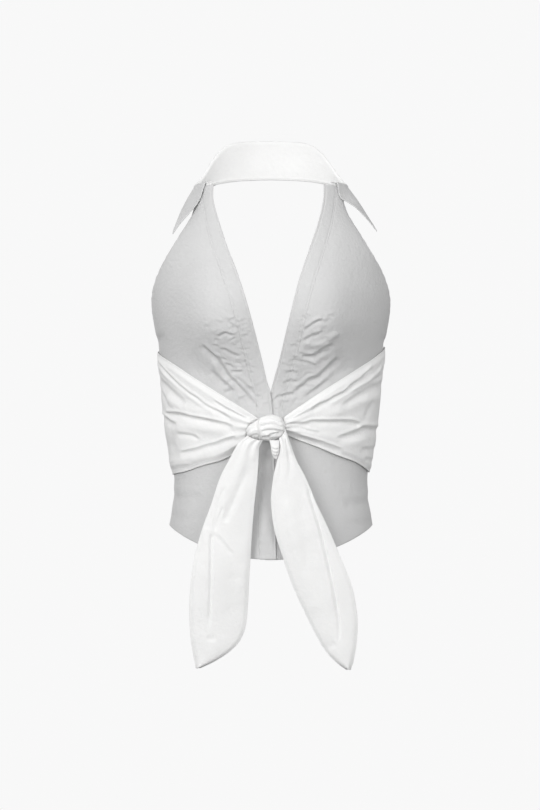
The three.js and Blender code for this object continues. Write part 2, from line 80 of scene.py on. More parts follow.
FRONT_COLUMNS = 104
BAND_COLUMNS = 27
BACK_COLUMNS = 150
STAND_COLUMNS = 150
LEAF_COLUMNS = 180
WRAP_ROWS = 140
WRAP_COLUMNS = 176
TAIL_ROWS = 170
KNOT_COLUMNS = 144
KNOT_ROWS = 90
LOOP_ROWS = 34
LOOP_COLUMNS = 20

# Cotton: white for the collar stand and ties, and a darker grey copy of the same white cotton for the
# fronts, bands, back and collar leaf, which paints on them the shade that the white cloth shows there

COTTONS = {
    # body: the white cotton darkened to grey, painted shade
    "body": {"colour": (0.66, 0.66, 0.66), "roughness": 0.85, "crinkle": 0.42},
    "white": {"colour": (0.88, 0.88, 0.875), "roughness": 0.82, "crinkle": 0.34},
}
COTTON_SHEEN = 0.1
THREAD_PITCH = 0.62
THREAD_RELIEF = 0.12
CRINKLE_RELIEF = 2
PUCKER_RELIEF = 1.6

# Studio, in metres and watts

SENSOR = 36
PICTURE_HEIGHT = 810
PIXEL = 0.0013
CAMERA_DISTANCE = 12
CAMERA_X = -0.0013
CAMERA_Z = -0.2834
GARMENT_FRONT = 0.06
FLOOR_LEVEL = -1.42
FLOOR_RADIUS = 8
LIGHT_ABOVE = 0.6
LIGHT_LEVEL = 0.64
LIGHT_BELOW = 0.3
SURROUND_SEEN = 0.94
KEY_PLACE = (-1.4, -2.7, 0.85)
KEY_SIZE = 1.5
KEY_POWER = 47
FILL_PLACE = (1.2, -3.1, 0.1)
FILL_SIZE = 1.6
FILL_POWER = 25
BACK_PLACE = (-0.9, 3.0, 0.9)
BACK_SIZE = 1.6
BACK_POWER = 34
FLOOR_SEEN = 0.74
FLOOR_LIT = 0.25
LIT_POINT = (0, 0, -0.25)


def rows(columns, *values):
    """A table: named columns, and a row of numbers for each section or fold."""
    names = columns.split()
    return [dict(zip(names, row)) for row in values]


# The general figure: half width at the side, depth in front and behind

BODY = rows(
    "z width front back",
    (14, 98, 62, 60),
    (-4, 100, 68, 66),
    (-20, 104, 75, 70),
    (-36, 111, 82, 74),
    (-50, 122, 88, 77),
    (-63, 133, 93, 79),
    (-80, 144, 98, 81),
    (-95, 150, 102, 83),
    (-126, 155.5, 107, 85),
    (-145, 156.5, 108, 86),
    (-172, 154, 107, 86),
    (-208, 147, 102, 84),
    (-243, 142, 96, 80),
    (-277, 139, 92, 76),
    (-305, 136, 90, 74),
    (-330, 133, 88, 73),
    (-355, 128.5, 88, 73),
    (-381, 126, 90, 76),
    (-412, 128.3, 95, 82),
    (-440, 132.8, 100, 88),
    (-485, 136, 106, 92),
)
CUP_X = 75
CUP_Z = -170
CUP_HEIGHT = 28
CUP_INNER, CUP_OUTER = 62, 48
CUP_UPPER, CUP_LOWER = 85, 55
CUP_FADE = (70, 96)
GIRTH_WIDTH = 136
GIRTH_DEPTH = 96

FRONT_EDGE = rows(
    "z right left",
    (8, 75.5, 69.5),
    (-16, 75.5, 68.5),
    (-36, 70.5, 64.5),
    (-58, 63.8, 58),
    (-81, 56, 50),
    (-97, 49.5, 44.5),
    (-123, 40, 36),
    (-160, 28.6, 26.5),
    (-186, 21.7, 20.3),
    (-223, 12.5, 11.7),
    (-253, 5.5, 3.5),
    (-268, 0.8, -0.5),
    (-290, -1.8, -6.5),
    (-320, -3, -9),
    (-400, -5, -9.5),
    (-490, -6.5, -8),
)
ARMHOLE = rows(
    "z right left",
    (-4, 80, 76),
    (-20, 73.5, 67),
    (-36, 68.5, 65.6),
    (-50, 66, 63.8),
    (-63, 64.3, 62.2),
    (-80, 64.8, 62.7),
    (-95, 68, 66),
    (-108, 72.5, 70.8),
    (-126, 79, 77),
    (-145, 86, 84),
    (-160, 92.5, 91.5),
    (UNDERARM, SIDE_SEAM, SIDE_SEAM),
)
TUCK = rows("z depth", (-215, 0), (-240, 1.2), (-262, 2.6), (-490, 2.6))
TUCK_REACH = 34

# Creases, as seen from the front: the step down over its line, the height at the line (below zero for a
# trough), half the width above and below, the lengths over which its two ends fade, and the line's points
# x and z in millimetres. Beyond the outline, x goes on round the side.

CREASE_DEPTH = 1.15
FRONT_CREASES = rows(
    "step height above below start end line",
    (1.1, -0.5, 2.2, 1.9, 5, 5, ((-70, -195.5), (-65, -192), (-59, -189.5), (-53, -191.5), (-46, -194.5))),
    (0.8, -0.7, 2.4, 2.4, 5, 6, ((-67, -212), (-60, -211.5), (-52, -216), (-39, -220.5))),
    (0.7, -0.3, 1.9, 1.7, 4, 4, ((-61, -229.5), (-54, -232), (-47, -235))),
    (0.7, -0.4, 1.8, 1.6, 3, 3, ((-47, -227), (-37, -230))),
    (0.9, -0.5, 1.9, 1.8, 4, 5, ((-54, -242.5), (-49.5, -240), (-42, -240), (-35, -239))),
    (1.4, -1.9, 2.8, 3.6, 8, 12, (
        (-91, -204.5), (-84, -212), (-76, -220), (-67, -228.5), (-61, -239), (-53, -249.5),
        (-46.5, -255), (-38.5, -263), (-29, -273.5), (-20, -284),
    )),
    (0.0, 1.2, 3.4, 3.4, 8, 10, ((-80, -229), (-72, -236), (-64, -247), (-55, -256), (-44, -266))),
    (0.8, -1.3, 3.0, 3.6, 8, 8, ((-82, -238), (-73, -246), (-66, -253), (-57, -258), (-48, -268))),
    (0.6, -0.6, 2.4, 2.6, 6, 8, ((-48, -246), (-38, -254), (-28, -263), (-18, -270))),
    (0.6, -0.5, 2.2, 2.4, 5, 5, ((-58, -176), (-50, -179), (-42, -186))),
    (0.0, 0.8, 3.0, 3.0, 6, 6, ((-78, -190), (-70, -186), (-58, -183), (-48, -186))),
    (1.0, -0.4, 2.2, 2.0, 4, 5, ((42, -186), (52.5, -179), (60, -174), (68, -173.5))),
    (0.9, -0.3, 2.4, 2.2, 4, 6, ((43, -200), (49.5, -194.5), (57, -192), (69, -186.5))),
    (0.0, 1.7, 3.8, 4.6, 4, 9, (
        (41, -204), (55.5, -206), (67, -203.5), (76, -197.5), (83, -192.5), (92, -194),
    )),
    (1.1, -1.6, 2.8, 3.2, 5, 8, (
        (39, -219), (51, -221), (59, -218), (67, -212.5), (75, -208.5), (83, -202.5),
    )),
    (0.8, 0.2, 1.8, 2.0, 4, 5, ((37, -225.5), (49, -228), (60, -234))),
    (1.4, -2.0, 3.2, 3.8, 7, 12, (
        (90, -222), (81, -231), (70, -240.5), (62, -248), (51, -252), (44.5, -258), (36.5, -262.5),
        (27, -269),
    )),
    (0.0, 1.2, 3.6, 3.6, 8, 8, ((84, -237), (72, -247), (62, -256), (50, -261), (38, -270))),
    (0.7, -0.9, 2.6, 3.0, 8, 8, ((78, -249), (68, -257), (56, -266), (44, -274))),
    (0.9, -0.9, 2.0, 2.2, 4, 5, ((32, -268.5), (18, -270.5), (8, -273.5), (0, -281))),
    (0.7, -0.6, 2.0, 2.0, 4, 4, ((16, -244), (25.5, -240.5), (36, -242))),
    (0.6, -0.5, 2.0, 2.0, 4, 4, ((14, -256), (24, -253), (36, -254.5))),
    (0.5, -0.4, 2.0, 2.0, 4, 4, ((20, -228), (30, -225), (40, -227))),
    (0.0, -3.4, 30.0, 12.0, 24, 10, ((-112, -226), (-88, -240), (-60, -263), (-16, -292))),
    (0.0, -3.4, 30.0, 12.0, 10, 24, ((14, -294), (58, -264), (88, -242), (112, -228))),
    (0.2, -1.9, 2.6, 2.6, 6, 6, ((2, -266), (3.5, -284), (4, -300), (4, -318))),
    (0.3, -0.4, 2.2, 2.2, 5, 5, ((-25, -447), (-13, -452), (-1, -449))),
    (0.3, -0.4, 2.2, 2.2, 5, 5, ((-24, -458), (-11, -465), (1, -462))),
    (0.3, -0.3, 2.0, 2.0, 4, 4, ((-20, -470), (-8, -475), (1, -473))),
    (0.3, -0.8, 6.0, 7.0, 16, 18, ((-152, -396), (-118, -402), (-84, -401))),
    (0.2, -0.6, 6.0, 7.0, 16, 14, ((-140, -424), (-112, -430), (-86, -427))),
    (0.3, -0.8, 6.0, 7.0, 16, 18, ((154, -398), (122, -408), (88, -409))),
    (0.2, -0.6, 6.0, 7.0, 14, 14, ((138, -430), (112, -437), (92, -434))),
    (0.3, -0.9, 6.0, 7.0, 14, 18, ((-168, -196), (-152, -199), (-134, -193))),
    (0.3, -0.9, 6.0, 7.0, 14, 18, ((168, -198), (152, -201), (136, -196))),
)

# Creases of the back: x is the length round from the centre back

BACK_CREASES = rows(
    "step height above below start end line",
    (0.9, -1.6, 6.0, 7.5, 0, 60, ((-168, -290), (-120, -305), (-66, -318), (-20, -322))),
    (0.8, -1.4, 6.0, 7.0, 0, 50, ((-168, -322), (-126, -333), (-84, -338), (-48, -336))),
    (0.6, -1.1, 5.5, 7.0, 0, 44, ((-168, -354), (-132, -360), (-92, -359))),
    (0.9, -1.5, 6.0, 7.5, 0, 60, ((168, -286), (118, -300), (58, -314), (12, -317))),
    (0.8, -1.3, 6.0, 7.0, 0, 50, ((168, -317), (130, -330), (80, -337), (44, -334))),
    (0.6, -1.1, 5.5, 7.0, 0, 44, ((168, -347), (128, -356), (88, -356))),
    (0.7, -1.2, 6.0, 7.0, 34, 34, ((-62, -344), (-20, -352), (22, -348), (58, -340))),
    (0.6, -1.0, 6.0, 7.0, 30, 30, ((-74, -372), (-34, -380), (10, -378))),
    (0.6, -0.9, 6.0, 7.0, 30, 30, ((4, -396), (48, -402), (90, -396))),
)

# Small crumples beside the band seams, where the gathers are drawn in: how many, and their least and
# greatest length, height and half width, and how far out from the seam they lie

CRUMPLES = 72
CRUMPLE_LEVELS = (-288, -166)
CRUMPLE_REACH = (-17, 38)
CRUMPLE_LENGTH = (5, 17)
CRUMPLE_HEIGHT = (0.15, 0.55)
CRUMPLE_WIDTH = (1.3, 2.4)
SEED = 7

# Collar

NECK_WIDTH = 97.5
NECK_DEPTH = 65
STAND_END = 127
STAND = rows(
    "turn low right left",
    (0, 12.3, 59.7, 59.7),
    (20, 11.2, 58.8, 58.2),
    (30, 9.8, 56.6, 55.2),
    (38, 8.2, 51.3, 48.6),
    (46, 6.2, 41.5, 38.4),
    (53, 4.4, 30.2, 27.6),
    (61.5, 1.8, 16.6, 15.6),
    (72, -0.8, 6.6, 6),
    (84, -2.4, 1.6, 1.6),
    (96, -2.6, 1.2, 1.2),
    (108, -1.2, 2.4, 2.4),
    (118, 0.8, 4.2, 4.2),
    (STAND_END, 3.6, 6.6, 6.6),
)
LEAF_END = 121
LEAF_EDGE = rows(
    "turn right left y right_z left_z",
    (0, 0, 0, 73.5, 15, 15),
    (20, 36, 36, 70, 13.6, 13.6),
    (38, 64, 64, 61.5, 9.2, 9.2),
    (50, 84, 84.5, 53, -0.4, -0.4),
    (64, 101, 103, 41, -14, -13.6),
    (78, 114, 117, 25, -30, -28),
    (92, 122.5, 128, 6, -44, -42),
    (106, 127, 135.5, -14, -54, -50.5),
    (114, 128.2, 138, -27, -58, -54.6),
    (LEAF_END, 128.5, 138.8, -38, -60, -56.8),
)
LEAF_SAG = rows(
    "share right left",
    (0, 0, 0),
    (0.28, 6.4, 10.5),
    (0.43, 7, 5),
    (0.55, 6.2, 2.8),
    (0.8, 2.2, 0.6),
    (1, 0, 0),
)
SAG_FROM = 95
STAND_ROLL = rows("out up", (0.1, 0.7), (0.5, 1.5), (1.2, 2.2), (1.9, 2.45))
STAND_ROLL_ENDS = (110, 120)
ROLL = rows("out up", (2.3, 2.4), (2.9, 1.9), (3.4, 0.9), (3.6, -0.6))
LEAF_BELLY = 2.2

# Back

BACK_TOP = rows("angle z", (SIDE_SEAM, UNDERARM), (110, -199), (130, -240), (155, -268), (180, -274))
BACK_HEM_DROP = 8

# Ties round the body

WRAP = {
    "right": rows(
        "angle upper lower lift",
        (97.6, -213, -374, 0.6),
        (91, -214, -374, 1.9),
        (78, -218, -372.5, 2.8),
        (60, -230, -369.5, 3),
        (42, -250, -361, 4.2),
        (28, -269, -353.5, 6),
        (15, -288, -338, 10),
        (6.9, -301, -326, 14),
    ),
    "left": rows(
        "angle upper lower lift",
        (97.6, -207, -371, 0.6),
        (91, -208, -371, 1.9),
        (78, -213, -368.5, 2.8),
        (57, -230, -357, 3),
        (40, -249, -348, 4.2),
        (26, -268, -337, 6),
        (14, -287, -327, 10),
        (6.9, -299, -320, 14),
    ),
}

# The right tie ends lower down further out, round the knot's broad side

WRAP_END_OUT = 13.8
WRAP_END_IN = 6.4
WRAP_END_POWER = 3
BEHIND_KNOT = 2.4
BEHIND_KNOT_FALL = 3.4

WRAP_BASE = 1.6
WRAP_HUG = 1.3
WRAP_HUG_REACH = 9
WRAP_CREASES = rows(
    "step height above below start end line",
    (1.1, -0.8, 2.2, 2.2, 0, 9, (
        (-158, -216), (-145.5, -227.5), (-138, -236.5), (-124, -251), (-107, -265.5), (-95, -273.5),
        (-81.5, -283.5), (-60, -294.5), (-49, -302),
    )),
    (0.8, -0.5, 1.8, 1.8, 9, 6, ((-76, -274), (-59, -285.5), (-46, -292), (-29, -301))),
    (0.0, 1.3, 3.6, 3.6, 0, 9, ((-158, -222), (-145, -233), (-124, -255), (-100, -274), (-70, -293))),
    (0.7, -1.5, 4.4, 5.4, 0, 14, ((-160, -232), (-145, -246.5), (-135, -258), (-125, -268), (-108, -282))),
    (0.6, -1.2, 3.2, 4.2, 0, 10, (
        (-158, -238), (-145, -255.5), (-140.5, -268), (-135, -278), (-131, -287),
    )),
    (0.0, 1.5, 7.0, 7.0, 6, 16, ((-136, -272), (-116, -286), (-92, -292), (-58, -300))),
    (1.7, -1.3, 2.4, 3.2, 8, 10, (
        (-137, -293), (-118, -294.5), (-104, -298), (-88, -301), (-70.5, -304.5), (-57, -307.5),
        (-46, -311.5),
    )),
    (1.6, -1.5, 2.8, 4.4, 0, 9, (
        (-158, -281), (-145, -292), (-137, -299), (-129.5, -304.5), (-121, -307.5),
    )),
    (0.0, 1.5, 7.0, 6.0, 8, 14, ((-130, -315), (-104, -312), (-80, -315), (-50, -317))),
    (0.7, -1.0, 2.4, 2.4, 6, 8, ((-122, -320), (-109.5, -321), (-99, -323.5), (-91, -329))),
    (0.0, -1.4, 8.0, 9.0, 0, 14, ((-158, -326), (-138, -333), (-120, -336))),
    (1.2, -0.8, 2.0, 3.4, 10, 5, (
        (-119, -345), (-97, -340), (-85, -336), (-70.5, -332.5), (-59, -328), (-44, -323),
    )),
    (0.0, 1.1, 5.0, 5.0, 0, 14, ((-158, -352), (-130, -356), (-100, -352), (-74, -341))),
    (0.5, -0.7, 2.4, 3.0, 0, 12, ((-158, -362), (-132, -366), (-104, -361))),
    (1.3, -1.5, 2.4, 3.2, 8, 9, (
        (133, -232), (116.5, -248), (105.5, -255.5), (94.5, -265.5), (83, -271), (74, -276.5),
        (61, -282), (48, -291),
    )),
    (0.0, 1.5, 2.8, 3.2, 0, 12, (
        (160, -216), (145.5, -229), (136.5, -241), (125.5, -251), (111, -259), (94, -270),
        (72, -283),
    )),
    (0.5, -0.6, 2.0, 2.0, 0, 8, ((160, -224), (146, -238), (132, -250))),
    (0.6, -1.5, 4.2, 5.4, 0, 14, (
        (158, -252), (141, -256.5), (130, -260), (116.5, -268), (101, -278), (88, -287),
    )),
    (0.3, -0.9, 4.6, 4.6, 12, 12, ((135, -272), (126.5, -288), (119, -306))),
    (0.0, 1.5, 7.0, 7.0, 6, 14, ((142, -272), (118, -278), (92, -290), (62, -298))),
    (1.6, -1.2, 2.2, 3.2, 5, 9, (
        (22, -306.5), (42, -306), (53, -303.5), (72, -303.5), (92, -303.5), (105.5, -304.5),
        (117, -309),
    )),
    (1.7, -1.9, 3.2, 4.8, 0, 16, (
        (160, -309), (139, -313.5), (122, -312.5), (114.5, -315.5), (100, -321), (81, -326.5),
    )),
    (0.7, -0.8, 2.0, 2.2, 4, 5, ((36, -312), (50, -315.5), (63, -318.5))),
    (0.0, 1.2, 5.6, 6.4, 22, 20, ((128, -328), (100, -331), (70, -323), (38, -316))),
    (1.2, -0.8, 1.8, 2.8, 4, 10, ((34, -322), (55.5, -328), (72, -333.5), (94, -342))),
    (0.0, 1.2, 2.4, 2.4, 8, 12, ((56, -335), (74, -342.5), (92, -350), (111, -358))),
    (0.6, -1.0, 3.0, 4.0, 0, 12, ((158, -334), (138, -338), (114, -340))),
    (0.5, -0.8, 3.0, 3.6, 0, 12, ((158, -354), (136, -356), (118, -352))),
)
KNOT_PLEATS = 5
KNOT_PLEAT_HEIGHT = 0.8

# Knot: its middle, half sizes, tilt down to the wearer's right and narrowing on that side

KNOT = (-7, -109.5, -314)
KNOT_LENGTH = 25.5
KNOT_HEIGHT = 16
KNOT_DEPTH = 13
KNOT_TILT = 12
KNOT_TAPER = 0.28
KNOT_CREASES = rows(
    "step height above below start end line",
    (0.0, -3.6, 3.0, 3.8, 2, 2, ((-19, -299), (-20.5, -308), (-19, -318), (-16, -334))),
    (0.0, 1.0, 1.5, 1.5, 2, 2, ((-37, -318), (-30, -312), (-21.5, -303.5))),
    (0.9, -0.5, 1.4, 1.4, 2, 2, ((-37, -324), (-29, -316), (-20.5, -308.5))),
    (0.0, 1.0, 1.4, 1.4, 2, 2, ((-35.5, -328), (-27, -320), (-20, -314))),
    (0.6, -1.5, 1.2, 1.4, 1, 2, ((-31, -328), (-26, -324), (-22, -322), (-19.5, -326))),
    (1.2, -0.4, 1.6, 1.5, 3, 3, ((-16, -304), (-6, -301.5), (3, -302), (14, -307))),
    (1.1, -0.5, 1.6, 1.6, 3, 3, ((-15, -311), (-6, -308), (3, -307.5), (16, -312))),
    (0.0, 0.9, 1.8, 1.8, 3, 3, ((-10, -312.5), (-3, -311.5), (4, -311.5), (14, -315))),
    (1.1, -0.6, 1.6, 1.6, 3, 3, ((-13, -318), (-6, -315.5), (4, -315.5), (17, -317.5))),
    (0.0, 0.9, 1.6, 1.6, 3, 3, ((-12, -319), (-6, -321), (0, -325))),
    (1.0, -0.7, 1.6, 1.6, 3, 3, ((-13, -325), (-6, -324), (2, -320.5), (13, -319.5))),
    (0.6, -1.1, 1.3, 1.3, 2, 2, ((-2, -327.5), (4, -326), (12, -325.5), (18, -321.5))),
)

# A small loop of the tie that hangs under the knot between the tails

LOOP = rows(
    "z from to y",
    (-329, -2, 10.5, -114),
    (-334, -0.8, 10.6, -116.5),
    (-339, 0, 10.7, -118),
    (-344, 0.8, 10.2, -118),
    (-349, 2.2, 9.2, -116.5),
    (-353, 4.2, 7.8, -114),
)
LOOP_BOW = 2.4
LOOP_CREASES = rows(
    "step height above below start end line",
    (0.9, -0.4, 1.3, 1.3, 1, 1, ((-1, -337), (4, -340), (9, -340), (11, -338))),
    (0.9, -0.4, 1.2, 1.2, 1, 1, ((0, -341.5), (4.5, -345), (8, -344.5), (10.5, -342))),
    (0.8, -0.3, 1.1, 1.1, 1, 1, ((2, -346), (5, -349), (8.5, -348))),
)

# Tails

TAIL = {
    "right": rows(
        "z from to y",
        (-330, -30, -11, -112),
        (-338, -41, -15, -113.5),
        (-348, -49, -16, -114.5),
        (-373, -64, -17.5, -115),
        (-411, -77, -21.5, -116),
        (-447, -90, -24.7, -117),
        (-481, -99, -26.7, -118),
        (-510, -103.5, -28.5, -118),
        (-541, -105.5, -30, -117),
        (-570, -105, -33, -115),
        (-588, -103.5, -40, -114),
        (-602, -101.5, -53, -113),
        (-615, -99, -72, -112),
        (-624, -97.5, -91, -111),
    ),
    "left": rows(
        "z from to y",
        (-326, 10, 18.5, -111),
        (-338, 11.5, 24, -113.5),
        (-353, 8.5, 31.5, -114),
        (-378, 3, 45, -116),
        (-407, 0.2, 57, -117),
        (-444, 4.3, 74.5, -118),
        (-481, 15.6, 90, -118),
        (-518, 28.6, 104.5, -117),
        (-556, 46, 111.5, -115),
        (-582, 59, 111.5, -114),
        (-604, 72.5, 109, -113),
        (-618, 86, 106, -112),
        (-626, 97, 103.5, -111),
    ),
}
TAIL_BOW = 3
TAIL_PLEATS = 2.6
TAIL_PLEAT_HEIGHT = 0.9
TAIL_ROLL = 1.6
TAIL_ROLL_WIDTH = 3.4
UNDER_KNOT = 35
KNOT_GAP = 0.4
TAIL_CREASES = rows(
    "step height above below start end line",
    (0.3, -1.5, 2.2, 1.9, 10, 30, ((-77.5, -448), (-77.8, -480), (-78, -518), (-80.5, -582))),
    (0.0, 1.0, 5.0, 5.0, 6, 30, ((-84, -440), (-85, -490), (-87, -560))),
    (0.3, -1.8, 5.5, 4.0, 36, 6, ((-28, -352), (-37, -380), (-47, -404), (-61, -436))),
    (0.0, 0.7, 5.0, 5.0, 16, 16, ((-54, -380), (-62, -408), (-70, -440))),
    (0.6, -0.7, 2.4, 2.6, 6, 14, ((-75, -447), (-64, -458.5), (-46, -480))),
    (0.3, -0.9, 1.8, 1.8, 5, 4, ((-62, -414), (-68, -430), (-74, -447))),
    (0.3, -0.8, 2.2, 2.2, 8, 6, ((-60, -386), (-68, -412), (-75, -444))),
    (0.0, -0.8, 9.0, 9.0, 20, 30, ((-52, -490), (-50, -530), (-55, -575))),
    (0.0, 0.9, 8.0, 8.0, 20, 30, ((-38, -450), (-38, -500), (-42, -550))),
    (0.0, -0.9, 4.0, 4.0, 4, 4, ((-84, -583), (-78, -586), (-70, -582))),
    (0.0, -0.9, 5.0, 5.0, 6, 16, ((-22, -352), (-28, -372), (-32, -396))),
    (0.2, -1.7, 2.2, 2.2, 22, 30, (
        (45, -380), (56, -417), (65.5, -447), (73.5, -482), (81.5, -518.5), (86.3, -546.5),
        (88.5, -572), (86, -597),
    )),
    (0.0, 1.1, 4.0, 4.0, 20, 20, ((40, -388), (58, -440), (68, -486), (76, -524), (81, -560))),
    (0.0, -1.0, 7.0, 7.0, 16, 16, ((34, -396), (42, -431), (46, -470), (46, -512))),
    (0.0, 1.0, 8.0, 8.0, 16, 20, ((20, -400), (28, -450), (44, -505), (58, -560))),
    (0.0, -0.9, 5.0, 5.0, 5, 8, ((84, -590), (76, -596), (66, -594))),
    (0.2, -0.9, 3.0, 3.0, 5, 24, ((22, -342), (24, -362), (21, -392))),
    (0.2, -0.7, 2.6, 2.6, 5, 20, ((15, -345), (13, -364), (9, -390))),
)

# Slow unevenness of worn cloth: waves along and across, in millimetres

RIPPLES = rows(
    "along across phase height",
    (0.021, 0.013, 0.4, 0.5),
    (-0.017, 0.034, 2.1, 0.4),
    (0.047, -0.029, 4.0, 0.22),
    (0.061, 0.052, 1.2, 0.14),
)

# Numbers from tables, smooth between their rows


def read(table, key, at, column):
    ordered = sorted(table, key=lambda row: row[key])
    places = np.array([row[key] for row in ordered], float)
    values = np.array([row[column] for row in ordered], float)
    first = (values[1] - values[0]) / (places[1] - places[0])
    last = (values[-1] - values[-2]) / (places[-1] - places[-2])
    slopes = np.concatenate([[first], (values[2:] - values[:-2]) / (places[2:] - places[:-2]), [last]])
    at = np.clip(np.asarray(at, float), places[0], places[-1])
    i = np.clip(np.searchsorted(places, at) - 1, 0, len(places) - 2)
    step = places[i + 1] - places[i]
    t = (at - places[i]) / step
    return (
        values[i] * (2 * t**3 - 3 * t**2 + 1)
        + slopes[i] * step * (t**3 - 2 * t**2 + t)
        + values[i + 1] * (3 * t**2 - 2 * t**3)
        + slopes[i + 1] * step * (t**3 - t**2)
    )


def bell(distance, spread):
    return np.exp(-((distance / spread) ** 2))


def smooth(value, low, high):
    t = np.clip((np.asarray(value, float) - low) / (high - low), 0, 1)
    return t * t * (3 - 2 * t)


def mix(a, b, share):
    return a + (b - a) * share


def ripple(along, across):
    total = 0
    for row in RIPPLES:
        total = total + row["height"] * np.sin(row["along"] * along + row["across"] * across + row["phase"])
    return total


def close_at_ends(edge, few, many):
    """Shares from 0 to 1, closer together along the first and last edge, where the hems are."""
    between = np.linspace(edge + 0.015, 0.985 - edge, many)
    return np.concatenate([np.linspace(0, edge, few), between, np.linspace(1 - edge, 1, few)])


def curve(points, step=1.5):
    """A smooth line through points x and z."""
    points = np.array(points, float)
    padded = np.concatenate([2 * points[:1] - points[1:2], points, 2 * points[-1:] - points[-2:-1]])
    line = []
    for before, a, b, after in zip(padded, padded[1:], padded[2:], padded[3:]):
        count = max(int(np.hypot(*(b - a)) / step), 1)
        t = np.arange(count)[:, None] / count
        line.append(
            0.5 * (2 * a + (b - before) * t + (2 * before - 5 * a + 4 * b - after) * t**2)
            + 0.5 * (3 * a - before - 3 * b + after) * t**3
        )
    return np.concatenate([*line, points[-1:]])


def crease_lift(creases, x, z, place=None):
    """Sum of the creases at places x and z; place turns a line's own points into those coordinates."""
    x, z = np.broadcast_arrays(np.asarray(x, float), np.asarray(z, float))
    total = np.zeros(x.shape)
    for crease in creases:
        points = np.array(crease["line"], float)
        if place is not None:
            points = place(points)
        line = curve(points)
        reach = 3.2 * max(crease["above"], crease["below"])
        low, high = line.min(axis=0) - reach, line.max(axis=0) + reach
        near = (x > low[0]) & (x < high[0]) & (z > low[1]) & (z < high[1])
        if not near.any():
            continue
        total[near] += crease_profile(crease, line, x[near], z[near])
    return total


def crease_profile(crease, line, x, z):
    """One crease, from the distance to its line, the side that a place is on and the length along it."""
    runs = np.diff(line, axis=0)
    lengths = np.hypot(runs[:, 0], runs[:, 1])
    starts = np.concatenate([[0], np.cumsum(lengths)])
    best = np.full(x.shape, 1e9)
    along = np.zeros(x.shape)
    turn = np.ones(x.shape)
    for a, run, length, start in zip(line, runs, lengths, starts):
        t = np.clip(((x - a[0]) * run[0] + (z - a[1]) * run[1]) / length**2, 0, 1)
        off_x = x - a[0] - t * run[0]
        off_z = z - a[1] - t * run[1]
        distance = np.hypot(off_x, off_z)
        closer = distance < best
        best = np.where(closer, distance, best)
        along = np.where(closer, start + t * length, along)
        turn = np.where(closer, np.sign(run[0] * off_z - run[1] * off_x), turn)
    if line[-1, 0] < line[0, 0]:
        turn = -turn
    width = np.where(turn > 0, crease["above"], crease["below"])
    share = turn * best / width
    ends = np.ones(x.shape)
    if crease["start"] > 0:
        ends *= smooth(along, 0, crease["start"])
    if crease["end"] > 0:
        ends *= smooth(starts[-1] - along, 0, crease["end"])
    wander = 1 + 0.22 * np.sin(along * 0.21 + line[0, 0]) * np.sin(along * 0.083 + line[0, 1])
    step = crease["step"] * share * np.exp(0.5 - 0.5 * share**2)
    return CREASE_DEPTH * (step + crease["height"] * np.exp(-(share**2))) * ends * wander


# The figure's surface


def on_body(side, angle, z):
    turn = np.radians(angle)
    width = read(BODY, "z", z, "width")
    depth = np.where(angle < 90, read(BODY, "z", z, "front"), read(BODY, "z", z, "back"))
    x = width * np.sin(turn)
    offset = np.abs(x) - CUP_X
    across = bell(offset, np.where(offset < 0, CUP_INNER, CUP_OUTER))
    upright = bell(z - CUP_Z, np.where(z > CUP_Z, CUP_UPPER, CUP_LOWER))
    cup = CUP_HEIGHT * across * upright * (1 - smooth(angle, *CUP_FADE))
    return np.stack(np.broadcast_arrays(side * x, -depth * np.cos(turn) - cup, z), axis=-1)


def off_body(side, angle, z, lift):
    small = 0.5
    around = on_body(side, angle + small, z) - on_body(side, angle - small, z)
    up = on_body(side, angle, z + small) - on_body(side, angle, z - small)
    normal = np.cross(around, up) * np.asarray(side)[..., None]
    normal /= np.linalg.norm(normal, axis=-1, keepdims=True)
    return on_body(side, angle, z) + normal * np.asarray(lift)[..., None]


def angle_after(side, angle, z, distance, step=0.25):
    """The angle that lies a distance further round the body, level by level."""
    here = np.array(angle, float)
    left = np.broadcast_to(np.asarray(distance, float), here.shape).copy()
    while np.any(left > 1e-6):
        piece = np.linalg.norm(on_body(side, here + step, z) - on_body(side, here, z), axis=-1)
        share = np.minimum(left / piece, 1)
        here = here + step * share
        left = left - piece * share
    return here


def girth(angle):
    """Length round the body from the centre front, about the same at every level."""
    turn = np.radians(angle)
    return (GIRTH_WIDTH + GIRTH_DEPTH) / 2 * turn + (GIRTH_WIDTH - GIRTH_DEPTH) / 4 * np.sin(2 * turn)


def unrolled(points, stand_off):
    """Points seen from the front, laid out flat: x becomes the length round the body."""
    x, z = points[:, 0], points[:, 1]
    reach = read(BODY, "z", z, "width") + stand_off
    inside = np.minimum(np.abs(x), reach)
    beyond = np.maximum(np.abs(x) - reach, 0)
    around = girth(np.degrees(np.arcsin(inside / reach))) + beyond
    return np.stack([np.sign(x) * around, z], axis=-1)


# Materials


